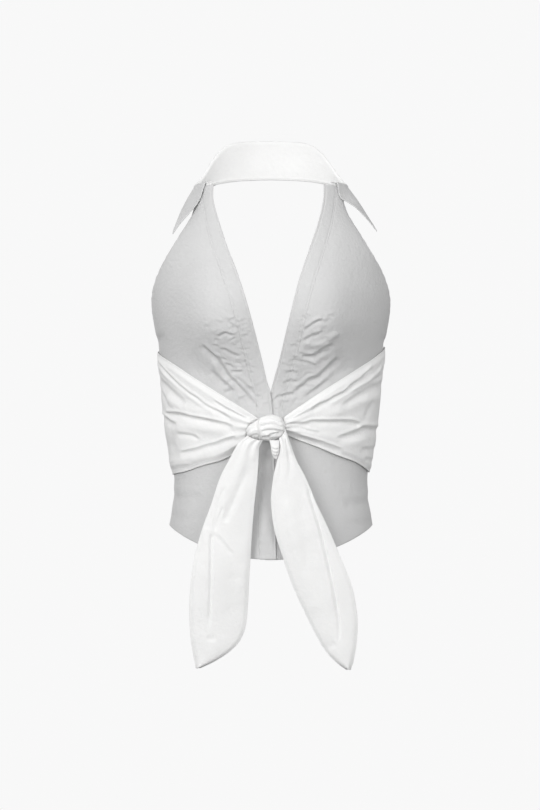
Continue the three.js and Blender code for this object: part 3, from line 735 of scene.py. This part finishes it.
def cotton(name, colour, roughness, crinkle):
    """Plain-weave cotton: crossing threads from the cut's own coordinates, soft crinkles, uneven tone."""
    material = bpy.data.materials.new(name)
    material.use_nodes = True
    nodes = material.node_tree.nodes
    links = material.node_tree.links
    shader = nodes["Principled BSDF"]
    shader.inputs["Roughness"].default_value = roughness
    shader.inputs["Sheen Weight"].default_value = COTTON_SHEEN
    shader.inputs["Sheen Roughness"].default_value = 0.6
    shader.inputs["Specular IOR Level"].default_value = 0.25
    place = nodes.new("ShaderNodeTexCoord")

    def math_node(operation, first, second=None):
        node = nodes.new("ShaderNodeMath")
        node.operation = operation
        links.new(first, node.inputs[0])
        if isinstance(second, (int, float)):
            node.inputs[1].default_value = second
        elif second is not None:
            links.new(second, node.inputs[1])
        return node.outputs[0]

    def noise(scale, detail, distortion=0):
        node = nodes.new("ShaderNodeTexNoise")
        node.inputs["Scale"].default_value = scale
        node.inputs["Detail"].default_value = detail
        node.inputs["Distortion"].default_value = distortion
        links.new(place.outputs["Object"], node.inputs["Vector"])
        return node.outputs[0]

    def relief(height, strength, distance, under=None):
        node = nodes.new("ShaderNodeBump")
        node.inputs["Strength"].default_value = strength
        node.inputs["Distance"].default_value = distance * MM
        links.new(height, node.inputs["Height"])
        if under is not None:
            links.new(under, node.inputs["Normal"])
        return node.outputs[0]

    cut = nodes.new("ShaderNodeUVMap")
    split = nodes.new("ShaderNodeSeparateXYZ")
    links.new(cut.outputs["UV"], split.inputs[0])
    threads = 2 * math.pi / (THREAD_PITCH * MM)
    warp = math_node("SINE", math_node("MULTIPLY", split.outputs["X"], threads))
    weft = math_node("SINE", math_node("MULTIPLY", split.outputs["Y"], threads))
    weave = math_node("MULTIPLY", warp, weft)

    tone = math_node("MULTIPLY", noise(14, 3), 0.7)
    slubs = math_node("MULTIPLY", noise(900, 2), 0.3)
    ramp = nodes.new("ShaderNodeValToRGB")
    ramp.color_ramp.elements[0].position = 0.3
    ramp.color_ramp.elements[1].position = 0.7
    ramp.color_ramp.elements[0].color = (*(0.955 * c for c in colour), 1)
    ramp.color_ramp.elements[1].color = (*(min(1.03 * c, 1) for c in colour), 1)
    links.new(math_node("ADD", tone, slubs), ramp.inputs[0])
    links.new(ramp.outputs[0], shader.inputs["Base Color"])

    crinkles = relief(noise(34, 4, 0.6), crinkle, CRINKLE_RELIEF)
    puckers = relief(noise(210, 3), crinkle, PUCKER_RELIEF, crinkles)
    links.new(relief(weave, 0.25, THREAD_RELIEF, puckers), shader.inputs["Normal"])
    return material


MATERIALS = {use: cotton(f"{use}_cotton", **looks) for use, looks in COTTONS.items()}


# Meshes


def normals_of(points):
    right = np.gradient(points, axis=1)
    up = np.gradient(points, axis=0)
    normal = np.cross(right, up)
    return normal / np.maximum(np.linalg.norm(normal, axis=-1, keepdims=True), 1e-9)


def cut_coordinates(points):
    """Distances along the grid's two directions, measured on the cloth."""
    across = np.cumsum(np.linalg.norm(np.diff(points, axis=1), axis=-1), axis=1)
    across = np.concatenate([np.zeros((len(points), 1)), across], axis=1)
    across = across - across.mean(axis=1, keepdims=True)
    along = np.cumsum(np.linalg.norm(np.diff(points, axis=0), axis=-1).mean(axis=1))
    along = np.concatenate([[0], along])[:, None] * np.ones(points.shape[1])
    return np.stack([across, along], axis=-1)


def make_object(name, points, faces, uvs, use):
    mesh = bpy.data.meshes.new(name)
    mesh.from_pydata((points * MM).tolist(), [], faces)
    layer = mesh.uv_layers.new(name="UVMap")
    index = np.empty(len(mesh.loops), dtype=np.int64)
    mesh.loops.foreach_get("vertex_index", index)
    layer.data.foreach_set("uv", (uvs[index] * MM).ravel())
    mesh.polygons.foreach_set("use_smooth", [True] * len(mesh.polygons))
    obj = bpy.data.objects.new(name, mesh)
    bpy.context.scene.collection.objects.link(obj)
    mesh.materials.append(MATERIALS[use])
    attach(obj, "root")
    return obj


def shell_parts(points, thickness):
    """Points, faces and cut coordinates of a thin closed cloth with a round rim, from its outer points."""
    count, width = points.shape[:2]
    normal = normals_of(points)
    inner = points - normal * thickness
    rim = [(0, j) for j in range(width - 1)]
    rim += [(i, width - 1) for i in range(count - 1)]
    rim += [(count - 1, j) for j in range(width - 1, 0, -1)]
    rim += [(i, 0) for i in range(count - 1, 0, -1)]
    rim = np.array(rim)
    edge = points[rim[:, 0], rim[:, 1]]
    run = np.roll(edge, -1, axis=0) - np.roll(edge, 1, axis=0)
    out = np.cross(run, normal[rim[:, 0], rim[:, 1]])
    out /= np.maximum(np.linalg.norm(out, axis=-1, keepdims=True), 1e-9)
    middle = (edge + inner[rim[:, 0], rim[:, 1]]) / 2 + out * thickness * 0.4
    all_points = np.concatenate([points.reshape(-1, 3), inner.reshape(-1, 3), middle])
    uv = cut_coordinates(points).reshape(-1, 2)
    rim_index = rim[:, 0] * width + rim[:, 1]
    uvs = np.concatenate([uv, uv, uv[rim_index]])
    grid = np.arange(count * width).reshape(count, width)
    a, b, c, d = grid[:-1, :-1], grid[:-1, 1:], grid[1:, 1:], grid[1:, :-1]
    front = np.stack([a, b, c, d], axis=-1).reshape(-1, 4)
    back = np.stack([d, c, b, a], axis=-1).reshape(-1, 4) + count * width
    ring = np.arange(len(rim)) + 2 * count * width
    step = np.roll(ring, -1)
    near = np.roll(rim_index, -1)
    upper = np.stack([ring, step, near, rim_index], axis=-1)
    far = rim_index + count * width
    lower = np.stack([far, np.roll(far, -1), step, ring], axis=-1)
    faces = np.concatenate([front, back, upper, lower]).tolist()
    return all_points, faces, uvs


def shell(name, points, thickness, use):
    return make_object(name, *shell_parts(points, thickness), use)


def declare(node, pieces=()):
    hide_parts(node)
    pieces = list(pieces)


# Stitches


def inset_line(points, edge, distance, keep=(0, 1)):
    """Points and normals on a line that runs a distance inside one edge of a grid."""
    normal = normals_of(points)
    if edge in ("foot", "top"):
        points = points.transpose(1, 0, 2)
        normal = normal.transpose(1, 0, 2)
    if edge in ("end", "top"):
        points = points[:, ::-1]
        normal = normal[:, ::-1]
    steps = np.linalg.norm(np.diff(points, axis=1), axis=-1)
    lengths = np.concatenate([np.zeros((len(points), 1)), np.cumsum(steps, axis=1)], axis=1)
    first = int(round(keep[0] * (len(points) - 1)))
    last = int(round(keep[1] * (len(points) - 1)))
    line = []
    for k in range(first, last + 1):
        if lengths[k, -1] < 2.4 * distance:
            continue
        place = np.interp(distance, lengths[k], np.arange(points.shape[1]))
        j = min(int(place), points.shape[1] - 2)
        share = place - j
        line.append([mix(values[k, j], values[k, j + 1], share) for values in (points, normal)])
    return np.array(line).transpose(1, 0, 2)


def stitch_points(line):
    """Ten corner points for each stitch of a line: two tips and two rings of four."""
    points, normal = line
    lengths = np.concatenate([[0], np.cumsum(np.linalg.norm(np.diff(points, axis=0), axis=-1))])
    starts = np.arange(STITCH_PITCH, lengths[-1] - STITCH_PITCH, STITCH_PITCH)

    def at(places, values):
        return np.stack([np.interp(places, lengths, values[:, k]) for k in range(3)], axis=-1)

    up = at(starts + STITCH_LENGTH / 2, normal)
    begin = at(starts, points)
    finish = at(starts + STITCH_LENGTH, points)
    run = finish - begin
    across = np.cross(up, run)
    across *= STITCH_WIDTH / 2 / np.maximum(np.linalg.norm(across, axis=-1, keepdims=True), 1e-9)
    rise = up * STITCH_HEIGHT
    rings = []
    for share in (0.18, 0.82):
        middle = begin + run * share
        rings += [middle + across, middle + rise, middle - across, middle - rise]
    return np.stack([begin - rise / 2, *rings, finish - rise / 2], axis=1)


def stitches(name, lines, use):
    stitch = np.concatenate([stitch_points(line) for line in lines])
    count = len(stitch)
    caps = [(0, 2, 1), (0, 3, 2), (0, 4, 3), (0, 1, 4), (9, 5, 6), (9, 6, 7), (9, 7, 8), (9, 8, 5)]
    sides = [(1, 2, 6, 5), (2, 3, 7, 6), (3, 4, 8, 7), (4, 1, 5, 8)]
    faces = []
    for k in range(count):
        faces += [tuple(10 * k + corner for corner in face) for face in caps + sides]
    points = stitch.reshape(-1, 3)
    return make_object(name, points, faces, points[:, [0, 2]], use)


# Fronts and bands


def true_level(level, angle):
    forward = np.maximum(np.cos(np.radians(angle)), 0)
    hem = SIDE_HEM - FRONT_HEM_DROP * forward**HEM_ROUNDNESS
    top = read(STAND, "turn", 180 - angle, "low") - SEAM
    low = HEM_BEND + (level - HEM_BEND) * (hem - HEM_BEND) / (SIDE_HEM - HEM_BEND)
    high = STRAP_BEND + (level - STRAP_BEND) * (top - STRAP_BEND) / (STRAP_LEVEL - STRAP_BEND)
    return np.where(level < HEM_BEND, low, np.where(level > STRAP_BEND, high, level))


def edge_angle(side_name, level):
    def angle_at(z):
        return np.degrees(np.arcsin(read(FRONT_EDGE, "z", z, side_name) / read(BODY, "z", z, "width")))

    return angle_at(true_level(level, angle_at(level)))


def outer_angle(side_name, level):
    return np.where(level < UNDERARM, SIDE_SEAM, read(ARMHOLE, "z", level, side_name))


def crumples():
    """Small seeded creases that run out from the band seams."""
    chance = np.random.RandomState(SEED)
    found = []
    for side_name, side in (("right", -1), ("left", 1)):
        for _ in range(CRUMPLES):
            z = chance.uniform(*CRUMPLE_LEVELS)
            out = chance.uniform(*CRUMPLE_REACH)
            x = read(FRONT_EDGE, "z", z, side_name) + BAND_WIDTH + out
            length = chance.uniform(*CRUMPLE_LENGTH)
            turn = math.radians(chance.uniform(-45, 30) - 0.12 * (z + 288) + 20)
            fade = 1 - 0.5 * abs(out) / CRUMPLE_REACH[1]
            height = chance.uniform(*CRUMPLE_HEIGHT) * chance.choice((-1, 1)) * fade
            width = chance.uniform(*CRUMPLE_WIDTH)
            out_x = 0.5 * length * math.cos(turn)
            out_z = 0.5 * length * math.sin(turn)
            middle = z + chance.uniform(-0.12, 0.12) * length
            line = [(side * (x - out_x), z - out_z), (side * x, middle), (side * (x + out_x), z + out_z)]
            values = (chance.uniform(0, 0.5), height, width, width, length / 3, length / 3, line)
            found += rows("step height above below start end line", values)
    return found


FRONT_FOLDS = FRONT_CREASES + crumples()


def front_creases(side, angle, z):
    """The fronts' creases, gone where a tie covers them."""
    x = side * girth(angle)
    tie = WRAP["right" if side < 0 else "left"]
    over = smooth(z - read(tie, "angle", angle, "upper"), -14, 0)
    under = smooth(read(tie, "angle", angle, "lower") - z, -4, 12)
    return crease_lift(FRONT_FOLDS, x, z, lambda points: unrolled(points, 0)) * np.maximum(over, under)


def tuck_depth(side, distance, z):
    if side < 0:
        return np.zeros(np.broadcast(distance, z).shape)
    return read(TUCK, "z", z, "depth") * (1 - smooth(distance, 0, TUCK_REACH))


def front_levels():
    hem = np.linspace(SIDE_HEM, SIDE_HEM + 14, 12)
    low = np.linspace(SIDE_HEM + 16, -300, 54)
    gathered = np.linspace(-298, -150, 150)
    high = np.linspace(-148, STRAP_LEVEL, 70)
    return np.concatenate([hem, low, gathered, high])


def front_panel(side):
    side_name = "right" if side < 0 else "left"
    level = front_levels()[:, None]
    edge = edge_angle(side_name, level)
    seam = angle_after(side, edge, level, BAND_WIDTH)
    start = angle_after(side, seam, level, SEAM)
    end = outer_angle(side_name, level)
    share = np.linspace(0, 1, FRONT_COLUMNS)[None, :] ** 1.2
    angle = mix(start, end, share)
    distance = np.abs(on_body(side, angle, level)[..., 0] - on_body(side, seam, level)[..., 0])
    z = true_level(level, angle)
    inside = smooth(distance, 0, 18) * smooth(1 - share, 0, 0.12)
    slow = 0.8 * ripple(z + 140 * side, distance) * inside
    tucked_in = SEAM_TUCK * bell(distance, 1.2)
    lift = front_creases(side, angle, z) - tuck_depth(side, distance, z)
    lift = lift + slow + side_seam_pucker(share, z) - tucked_in
    points = off_body(side, angle, z, lift)
    if side < 0:
        points = points[:, ::-1]
    panel = shell(f"front_{side_name}_cloth", points, PANEL_CLOTH, "body")
    outer_edge = "start" if side < 0 else "end"
    under = (level[:, 0] - SIDE_HEM) / (STRAP_LEVEL - SIDE_HEM)
    armhole_from = np.argmax(level[:, 0] > UNDERARM) / (len(under) - 1)
    thread = stitches(
        f"front_{side_name}_stitches",
        [
            inset_line(points, "foot", HEM_STITCH),
            inset_line(points, outer_edge, ARMHOLE_STITCH, (armhole_from, 1)),
        ],
        "body",
    )
    declare(f"front_{side_name}", [thread])


def side_seam_pucker(share, z):
    """Small puckers that a stitched side seam draws into the cloth beside it."""
    near = smooth(share, 0.93, 1.0)
    return SEAM_PUCKER * near * np.sin(z * 0.55) * np.sin(z * 0.13 + 1)


def front_band(side):
    side_name = "right" if side < 0 else "left"
    level = front_levels()[:, None]
    edge = edge_angle(side_name, level)
    width = np.linspace(0, BAND_WIDTH, BAND_COLUMNS)
    angle = np.concatenate([angle_after(side, edge, level, step) for step in width], axis=1)
    z = true_level(level, angle)
    depth, spread = BAND_CHANNEL
    channels = bell(width - EDGE_STITCH, spread) + bell(BAND_WIDTH - width - EDGE_STITCH, spread)
    pucker = BAND_PUCKER * np.sin(z * 0.8) * np.sin(z * 0.17 + 0.6) * bell(width - BAND_WIDTH, 6)
    firm = mix(0.55, 1, smooth(width, BAND_WIDTH * 0.4, BAND_WIDTH))
    crown = 0.25 * bell(width - BAND_WIDTH / 2, 7) - SEAM_TUCK * bell(width - BAND_WIDTH, 1.2)
    lift = front_creases(side, angle, z) * firm - depth * channels + pucker + crown
    lift = lift - tuck_depth(side, 0, z)
    points = off_body(side, angle, z, lift)
    if side < 0:
        points = points[:, ::-1]
    band = shell(f"band_{side_name}_cloth", points, PANEL_CLOTH + 0.4, "body")
    thread = stitches(
        f"band_{side_name}_stitches",
        [inset_line(points, "start", EDGE_STITCH), inset_line(points, "end", EDGE_STITCH)],
        "body",
    )
    declare(f"band_{side_name}", [thread])


# Back


def back_panel():
    reach = 180 - SIDE_SEAM - 0.25
    turn = np.linspace(-reach, reach, BACK_COLUMNS)[None, :]
    angle = 180 - np.abs(turn)
    top = read(BACK_TOP, "angle", angle, "z")
    hem = SIDE_HEM - BACK_HEM_DROP * np.cos(np.radians(turn)) ** 2
    share = close_at_ends(0.06, 8, 84)[:, None]
    z = mix(hem, top, share)
    side = np.where(turn < 0, 1.0, -1.0)
    inside = smooth(reach - np.abs(turn), 0, 14)
    x = side * (girth(180) - girth(angle))
    lift = (0.9 * ripple(z, turn * 1.6) + crease_lift(BACK_CREASES, x, z)) * inside
    points = off_body(side, angle, z, lift)
    panel = shell("back_cloth", points, PANEL_CLOTH, "body")
    thread = stitches(
        "back_stitches",
        [inset_line(points, "foot", HEM_STITCH), inset_line(points, "top", ARMHOLE_STITCH)],
        "body",
    )
    declare("back", [thread])


# Collar


def neck_point(turn, out, z):
    angle = np.radians(turn)
    x = -(NECK_WIDTH + out) * np.sin(angle)
    y = (NECK_DEPTH + out) * np.cos(angle)
    return np.stack(np.broadcast_arrays(x, y, z), axis=-1)


def by_side(turn, right, left):
    """Turns above zero are on the wearer's right."""
    return np.where(turn > 0, right, left)


def stand_top(turn):
    return by_side(turn, *(read(STAND, "turn", np.abs(turn), name) for name in ("right", "left")))


def collar_stand():
    turn = np.linspace(-STAND_END, STAND_END, STAND_COLUMNS)[None, :]
    share = np.concatenate([np.linspace(0, 0.12, 7), np.linspace(0.16, 1, 26)])[:, None]
    low = read(STAND, "turn", np.abs(turn), "low")
    top = stand_top(turn)
    z = mix(low, top, share)
    depth, spread = STAND_CHANNEL
    channel = -depth * bell(z - low - EDGE_STITCH, spread)
    lean = 0.5 * np.sin(np.radians(turn) * 3.1 + 0.4) * share * (1 - share) * (top - low) / 46
    points = neck_point(turn, lean + channel, z)
    rolled = 1 - 0.9 * smooth(np.abs(turn), *STAND_ROLL_ENDS)
    roll = np.concatenate(
        [neck_point(turn, row["out"] * rolled, top + mix(0.4, row["up"], rolled)) for row in STAND_ROLL]
    )
    points = np.concatenate([points, roll])
    stand = shell("collar_stand_cloth", points, PANEL_CLOTH + 0.4, "white")
    inner = points[:, ::-1] - normals_of(points)[:, ::-1] * (PANEL_CLOTH + 0.4)
    thread = stitches(
        "collar_stand_stitches",
        [inset_line(points, "foot", EDGE_STITCH), inset_line(inner, "foot", EDGE_STITCH)],
        "white",
    )
    declare("collar_stand", [thread])


def leaf_edge(turn):
    def column(name):
        return read(LEAF_EDGE, "turn", np.abs(turn), name)

    x = -np.sign(turn) * by_side(turn, column("right"), column("left"))
    return np.stack([x, column("y"), by_side(turn, column("right_z"), column("left_z"))], axis=-1)


def collar_leaf():
    turn = np.linspace(-LEAF_END, LEAF_END, LEAF_COLUMNS)
    top = stand_top(turn)
    roll = np.stack([neck_point(turn, row["out"], top + row["up"]) for row in ROLL])
    edge = leaf_edge(turn)
    share = np.concatenate([np.linspace(0.03, 0.86, 30), np.linspace(0.89, 1, 8)])[:, None, None]
    fall = mix(roll[-1], edge, share)
    outward = neck_point(turn, 1, 0) - neck_point(turn, 0, 0)
    length = np.linalg.norm(edge - roll[-1], axis=-1)[None, :, None]
    belly = LEAF_BELLY * np.sin(np.pi * share) * (length / 60)
    wave = 0.7 * np.sin(np.radians(turn) * 4.3 + 0.8)[None, :, None] * share
    sag = by_side(turn, *(read(LEAF_SAG, "share", share[..., 0], name) for name in ("right", "left")))
    sag = (sag * smooth(np.abs(turn), SAG_FROM, LEAF_END))[..., None]
    inward = np.sign(turn)[:, None] * (1, 0, 0)
    fall = fall + outward[None] * (belly + wave) * (1 - sag / 12) + inward[None] * sag
    points = np.concatenate([roll, fall])[::-1]
    # The leaf is the same cloth as the white stand but takes the grey body cotton: painted shade on its
    # outer face
    leaf = shell("collar_leaf_cloth", points, PANEL_CLOTH + 0.3, "body")
    thread = stitches(
        "collar_leaf_stitches",
        [
            inset_line(points, "foot", LEAF_STITCH, (0.02, 0.98)),
            inset_line(points, "start", LEAF_STITCH, (0.1, 0.84)),
            inset_line(points, "end", LEAF_STITCH, (0.1, 0.84)),
        ],
        "body",
    )
    declare("collar_leaf", [thread])


# Ties


def tie_wrap(side):
    side_name = "right" if side < 0 else "left"
    edges = WRAP[side_name]
    share = np.linspace(0, 1, WRAP_ROWS)[:, None]
    knot_end = edges[-1]["angle"]
    if side < 0:
        knot_end = mix(WRAP_END_OUT, WRAP_END_IN, share**WRAP_END_POWER)
    along = np.concatenate([np.linspace(1.03, 1.005, 8), np.linspace(1, 0, WRAP_COLUMNS)])[None, :]
    beyond = np.maximum(along - 1, 0) / 0.03 * (BEHIND_KNOT if side < 0 else 0.05)
    angle = mix(edges[0]["angle"], knot_end, np.minimum(along, 1)) - beyond
    lower = read(edges, "angle", angle, "lower")
    upper = read(edges, "angle", angle, "upper")
    height = upper - lower
    z = mix(lower, upper, share)
    base = read(edges, "angle", angle, "lift") + WRAP_BASE * smooth(along, 0, 0.2)
    inset = np.minimum(share, 1 - share) * height
    base = np.minimum(base, WRAP_HUG + (base - WRAP_HUG) * mix(0.2, 1, smooth(inset, 0, WRAP_HUG_REACH)))
    turns = KNOT_PLEATS * share**1.15 + 0.2 * side
    pleats = KNOT_PLEAT_HEIGHT * np.sin(2 * math.pi * turns) * smooth(along, 0.74, 1)
    slow = 0.4 * ripple(120 * along * side, share * height)
    calm = mix(0.22, 1, smooth(along, 0.04, 0.3))
    creases = crease_lift(WRAP_CREASES, side * girth(angle), z, lambda points: unrolled(points, 4))
    lift = np.maximum(base + (creases + slow) * calm + pleats - BEHIND_KNOT_FALL * beyond, WRAP_HUG)
    points = off_body(side, angle, z, lift + TIE_CLOTH)
    if side < 0:
        points = points[:, ::-1]
    wrap = shell(f"tie_wrap_{side_name}_cloth", points, TIE_CLOTH, "white")
    thread = stitches(
        f"tie_wrap_{side_name}_stitches",
        [inset_line(points, "foot", TIE_STITCH), inset_line(points, "top", TIE_STITCH)],
        "white",
    )
    declare(f"tie_wrap_{side_name}", [thread])


def on_knot(along, across):
    """A point of the knot's outline, from shares of its half length and half height."""
    tilt = math.radians(KNOT_TILT)
    length = along * KNOT_LENGTH
    height = across * KNOT_HEIGHT * (1 + KNOT_TAPER * along)
    x = KNOT[0] + math.cos(tilt) * length - math.sin(tilt) * height
    z = KNOT[2] + math.sin(tilt) * length + math.cos(tilt) * height
    return x, z


def knot():
    """The wrapped strand: a rounded bundle with folds that run slantwise over it."""
    around = np.linspace(0, 2 * math.pi, KNOT_COLUMNS + 1)[:-1]
    tilt = np.linspace(0, math.pi, KNOT_ROWS + 2)[1:-1]
    grid_tilt, grid_around = np.meshgrid(tilt, around, indexing="ij")
    ball_x = np.sin(grid_tilt) * np.cos(grid_around)
    ball_y = np.sin(grid_tilt) * np.sin(grid_around)
    ball_z = np.cos(grid_tilt)
    unit = np.stack([ball_x.ravel(), ball_y.ravel(), ball_z.ravel()], axis=-1)
    unit = np.concatenate([[(0, 0, 1)], unit, [(0, 0, -1)]])
    x, z = on_knot(unit[:, 0], unit[:, 2])
    rise = crease_lift(KNOT_CREASES, x, z) * smooth(-unit[:, 1], -0.3, 0.35)
    place = np.stack([x, KNOT[1] + unit[:, 1] * KNOT_DEPTH, z], axis=-1) + unit * rise[:, None]
    ring = len(around)
    faces = [(0, 1 + j, 1 + (j + 1) % ring) for j in range(ring)]
    for i in range(len(tilt) - 1):
        for j in range(ring):
            a = 1 + i * ring + j
            b = 1 + i * ring + (j + 1) % ring
            faces.append((a, a + ring, b + ring, b))
    last = len(place) - 1
    first = 1 + (len(tilt) - 1) * ring
    faces += [(last, first + (j + 1) % ring, first + j) for j in range(ring)]
    uvs = place[:, [0, 2]]
    loop_points, loop_faces, loop_uvs = knot_loop()
    faces += [tuple(len(place) + corner for corner in face) for face in loop_faces]
    place = np.concatenate([place, loop_points])
    bundle = make_object("knot_cloth", place, faces, np.concatenate([uvs, loop_uvs]), "white")
    declare("knot")


def knot_loop():
    """The small hanging loop: a bowed strip with sagging creases that ends in a round tip."""
    level = np.linspace(LOOP[-1]["z"], LOOP[0]["z"], LOOP_ROWS)[:, None]
    share = np.linspace(0, 1, LOOP_COLUMNS)[None, :]
    x = mix(read(LOOP, "z", level, "from"), read(LOOP, "z", level, "to"), share)
    bow = LOOP_BOW * np.sin(np.pi * share)
    y = read(LOOP, "z", level, "y") - bow - crease_lift(LOOP_CREASES, x, level)
    return shell_parts(np.stack(np.broadcast_arrays(x, y, level), axis=-1), TIE_CLOTH)


def under_knot(x):
    turn = np.radians(np.linspace(-165, -15, 31))
    foot_x, foot_z = on_knot(np.cos(turn), np.sin(turn))
    return np.interp(x, foot_x, foot_z) - KNOT_GAP


def tie_tail(side):
    side_name = "right" if side < 0 else "left"
    edges = TAIL[side_name]
    top = edges[0]["z"]
    foot = edges[-1]["z"]
    level = np.linspace(foot, top, TAIL_ROWS)[:, None]
    share = close_at_ends(0.1, 10, 54)[None, :]
    start = read(edges, "z", level, "from")
    end = read(edges, "z", level, "to")
    width = end - start
    x = mix(start, end, share)
    near_knot = smooth(level, top - UNDER_KNOT, top)
    z = level + near_knot * (under_knot(x) - top)
    bow = TAIL_BOW * np.sin(np.pi * share)
    folds = crease_lift(TAIL_CREASES, x, z) * smooth(top - level, 0, 16)
    pleats = TAIL_PLEAT_HEIGHT * np.sin(2 * math.pi * TAIL_PLEATS * share**1.1 + 0.7)
    pleats = pleats * smooth(level, top - 50, top - 4)
    slow = 0.7 * ripple(level * side, x)
    inset = share * width
    rolled = bell(inset, TAIL_ROLL_WIDTH) + bell(width - inset, TAIL_ROLL_WIDTH)
    rolled = TAIL_ROLL * rolled * smooth(top - level, 30, 160)
    y = read(edges, "z", level, "y") - bow - folds - pleats - slow + rolled
    points = np.stack(np.broadcast_arrays(x, y, z), axis=-1)
    tail = shell(f"tie_tail_{side_name}_cloth", points, TIE_CLOTH, "white")
    thread = stitches(
        f"tie_tail_{side_name}_stitches",
        [
            inset_line(points, "start", TIE_STITCH, (0.03, 0.9)),
            inset_line(points, "end", TIE_STITCH, (0.03, 0.9)),
        ],
        "white",
    )
    declare(f"tie_tail_{side_name}", [thread])


# Studio


def seen_apart(tree, lighting, seen, output):
    """Joins two shaders: the second is what the camera sees, the first is what lights the cloth."""
    path = tree.nodes.new("ShaderNodeLightPath")
    choose = tree.nodes.new("ShaderNodeMixShader")
    tree.links.new(path.outputs["Is Camera Ray"], choose.inputs[0])
    tree.links.new(lighting.outputs[0], choose.inputs[1])
    tree.links.new(seen.outputs[0], choose.inputs[2])
    tree.links.new(choose.outputs[0], tree.nodes[output].inputs[0])


def floor():
    """A round pale floor, where a standing figure's feet would be."""
    mesh = bpy.data.meshes.new("studio_floor")
    turns = np.linspace(0, 2 * math.pi, 97)[:-1]
    corners = [(FLOOR_RADIUS * math.cos(t), FLOOR_RADIUS * math.sin(t), FLOOR_LEVEL) for t in turns]
    mesh.from_pydata(corners, [], [tuple(range(len(corners)))])
    obj = bpy.data.objects.new("studio_floor", mesh)
    bpy.context.scene.collection.objects.link(obj)
    material = bpy.data.materials.new("studio_floor")
    material.use_nodes = True
    nodes = material.node_tree.nodes
    seen = nodes["Principled BSDF"]
    seen.inputs["Base Color"].default_value = (0.12, 0.12, 0.12, 1)
    seen.inputs["Roughness"].default_value = 1
    seen.inputs["Emission Color"].default_value = (1, 1, 1, 1)
    seen.inputs["Emission Strength"].default_value = FLOOR_SEEN
    dim = nodes.new("ShaderNodeBsdfDiffuse")
    dim.inputs["Color"].default_value = (FLOOR_LIT, FLOOR_LIT, FLOOR_LIT, 1)
    seen_apart(material.node_tree, dim, seen, "Material Output")
    mesh.materials.append(material)


def softbox(name, place, target, size, power):
    light = bpy.data.lights.new(name, "AREA")
    light.shape = "DISK"
    light.size = size
    light.energy = power
    obj = bpy.data.objects.new(name, light)
    bpy.context.scene.collection.objects.link(obj)
    obj.location = place
    direction = np.array(target) - np.array(place)
    flat = math.hypot(direction[0], direction[1])
    obj.rotation_euler = (math.atan2(flat, -direction[2]), 0, math.atan2(-direction[0], direction[1]))


def studio():
    """Pale surroundings, seen brighter than they light the cloth, with soft lamps in front and behind."""
    world = bpy.data.worlds.new("studio")
    bpy.context.scene.world = world
    world.use_nodes = True
    nodes = world.node_tree.nodes
    links = world.node_tree.links
    lighting = nodes["Background"]
    lighting.inputs["Strength"].default_value = 1
    place = nodes.new("ShaderNodeTexCoord")
    split = nodes.new("ShaderNodeSeparateXYZ")
    height = nodes.new("ShaderNodeMapRange")
    height.inputs["From Min"].default_value = -1
    ramp = nodes.new("ShaderNodeValToRGB")
    ramp.color_ramp.elements.new(0.5)
    for element, value in zip(ramp.color_ramp.elements, (LIGHT_BELOW, LIGHT_LEVEL, LIGHT_ABOVE)):
        element.color = (value, value, value, 1)
    links.new(place.outputs["Generated"], split.inputs[0])
    links.new(split.outputs["Z"], height.inputs["Value"])
    links.new(height.outputs[0], ramp.inputs[0])
    links.new(ramp.outputs[0], lighting.inputs["Color"])
    seen = nodes.new("ShaderNodeBackground")
    seen.inputs["Color"].default_value = (1, 1, 1, 1)
    seen.inputs["Strength"].default_value = SURROUND_SEEN
    seen_apart(world.node_tree, lighting, seen, "World Output")
    softbox("key", KEY_PLACE, LIT_POINT, KEY_SIZE, KEY_POWER)
    softbox("fill", FILL_PLACE, LIT_POINT, FILL_SIZE, FILL_POWER)
    softbox("back", BACK_PLACE, LIT_POINT, BACK_SIZE, BACK_POWER)
    bpy.context.scene.view_settings.view_transform = "Standard"


def camera():
    """Level camera in front: the frame is as high as the photograph, of 1.3 mm a pixel at the garment."""
    lens = bpy.data.cameras.new("camera")
    lens.sensor_fit = "VERTICAL"
    lens.sensor_height = SENSOR
    lens.lens = SENSOR * (CAMERA_DISTANCE - GARMENT_FRONT) / (PICTURE_HEIGHT * PIXEL)
    lens.clip_end = 100
    obj = bpy.data.objects.new("camera", lens)
    bpy.context.scene.collection.objects.link(obj)
    obj.location = (CAMERA_X, -CAMERA_DISTANCE, CAMERA_Z)
    obj.rotation_euler = (math.pi / 2, 0, 0)
    bpy.context.scene.camera = obj


camera()
for wearer_side in (-1, 1):
    front_panel(wearer_side)
    front_band(wearer_side)
    tie_wrap(wearer_side)
    tie_tail(wearer_side)
back_panel()
collar_stand()
collar_leaf()
knot()
studio()
floor()
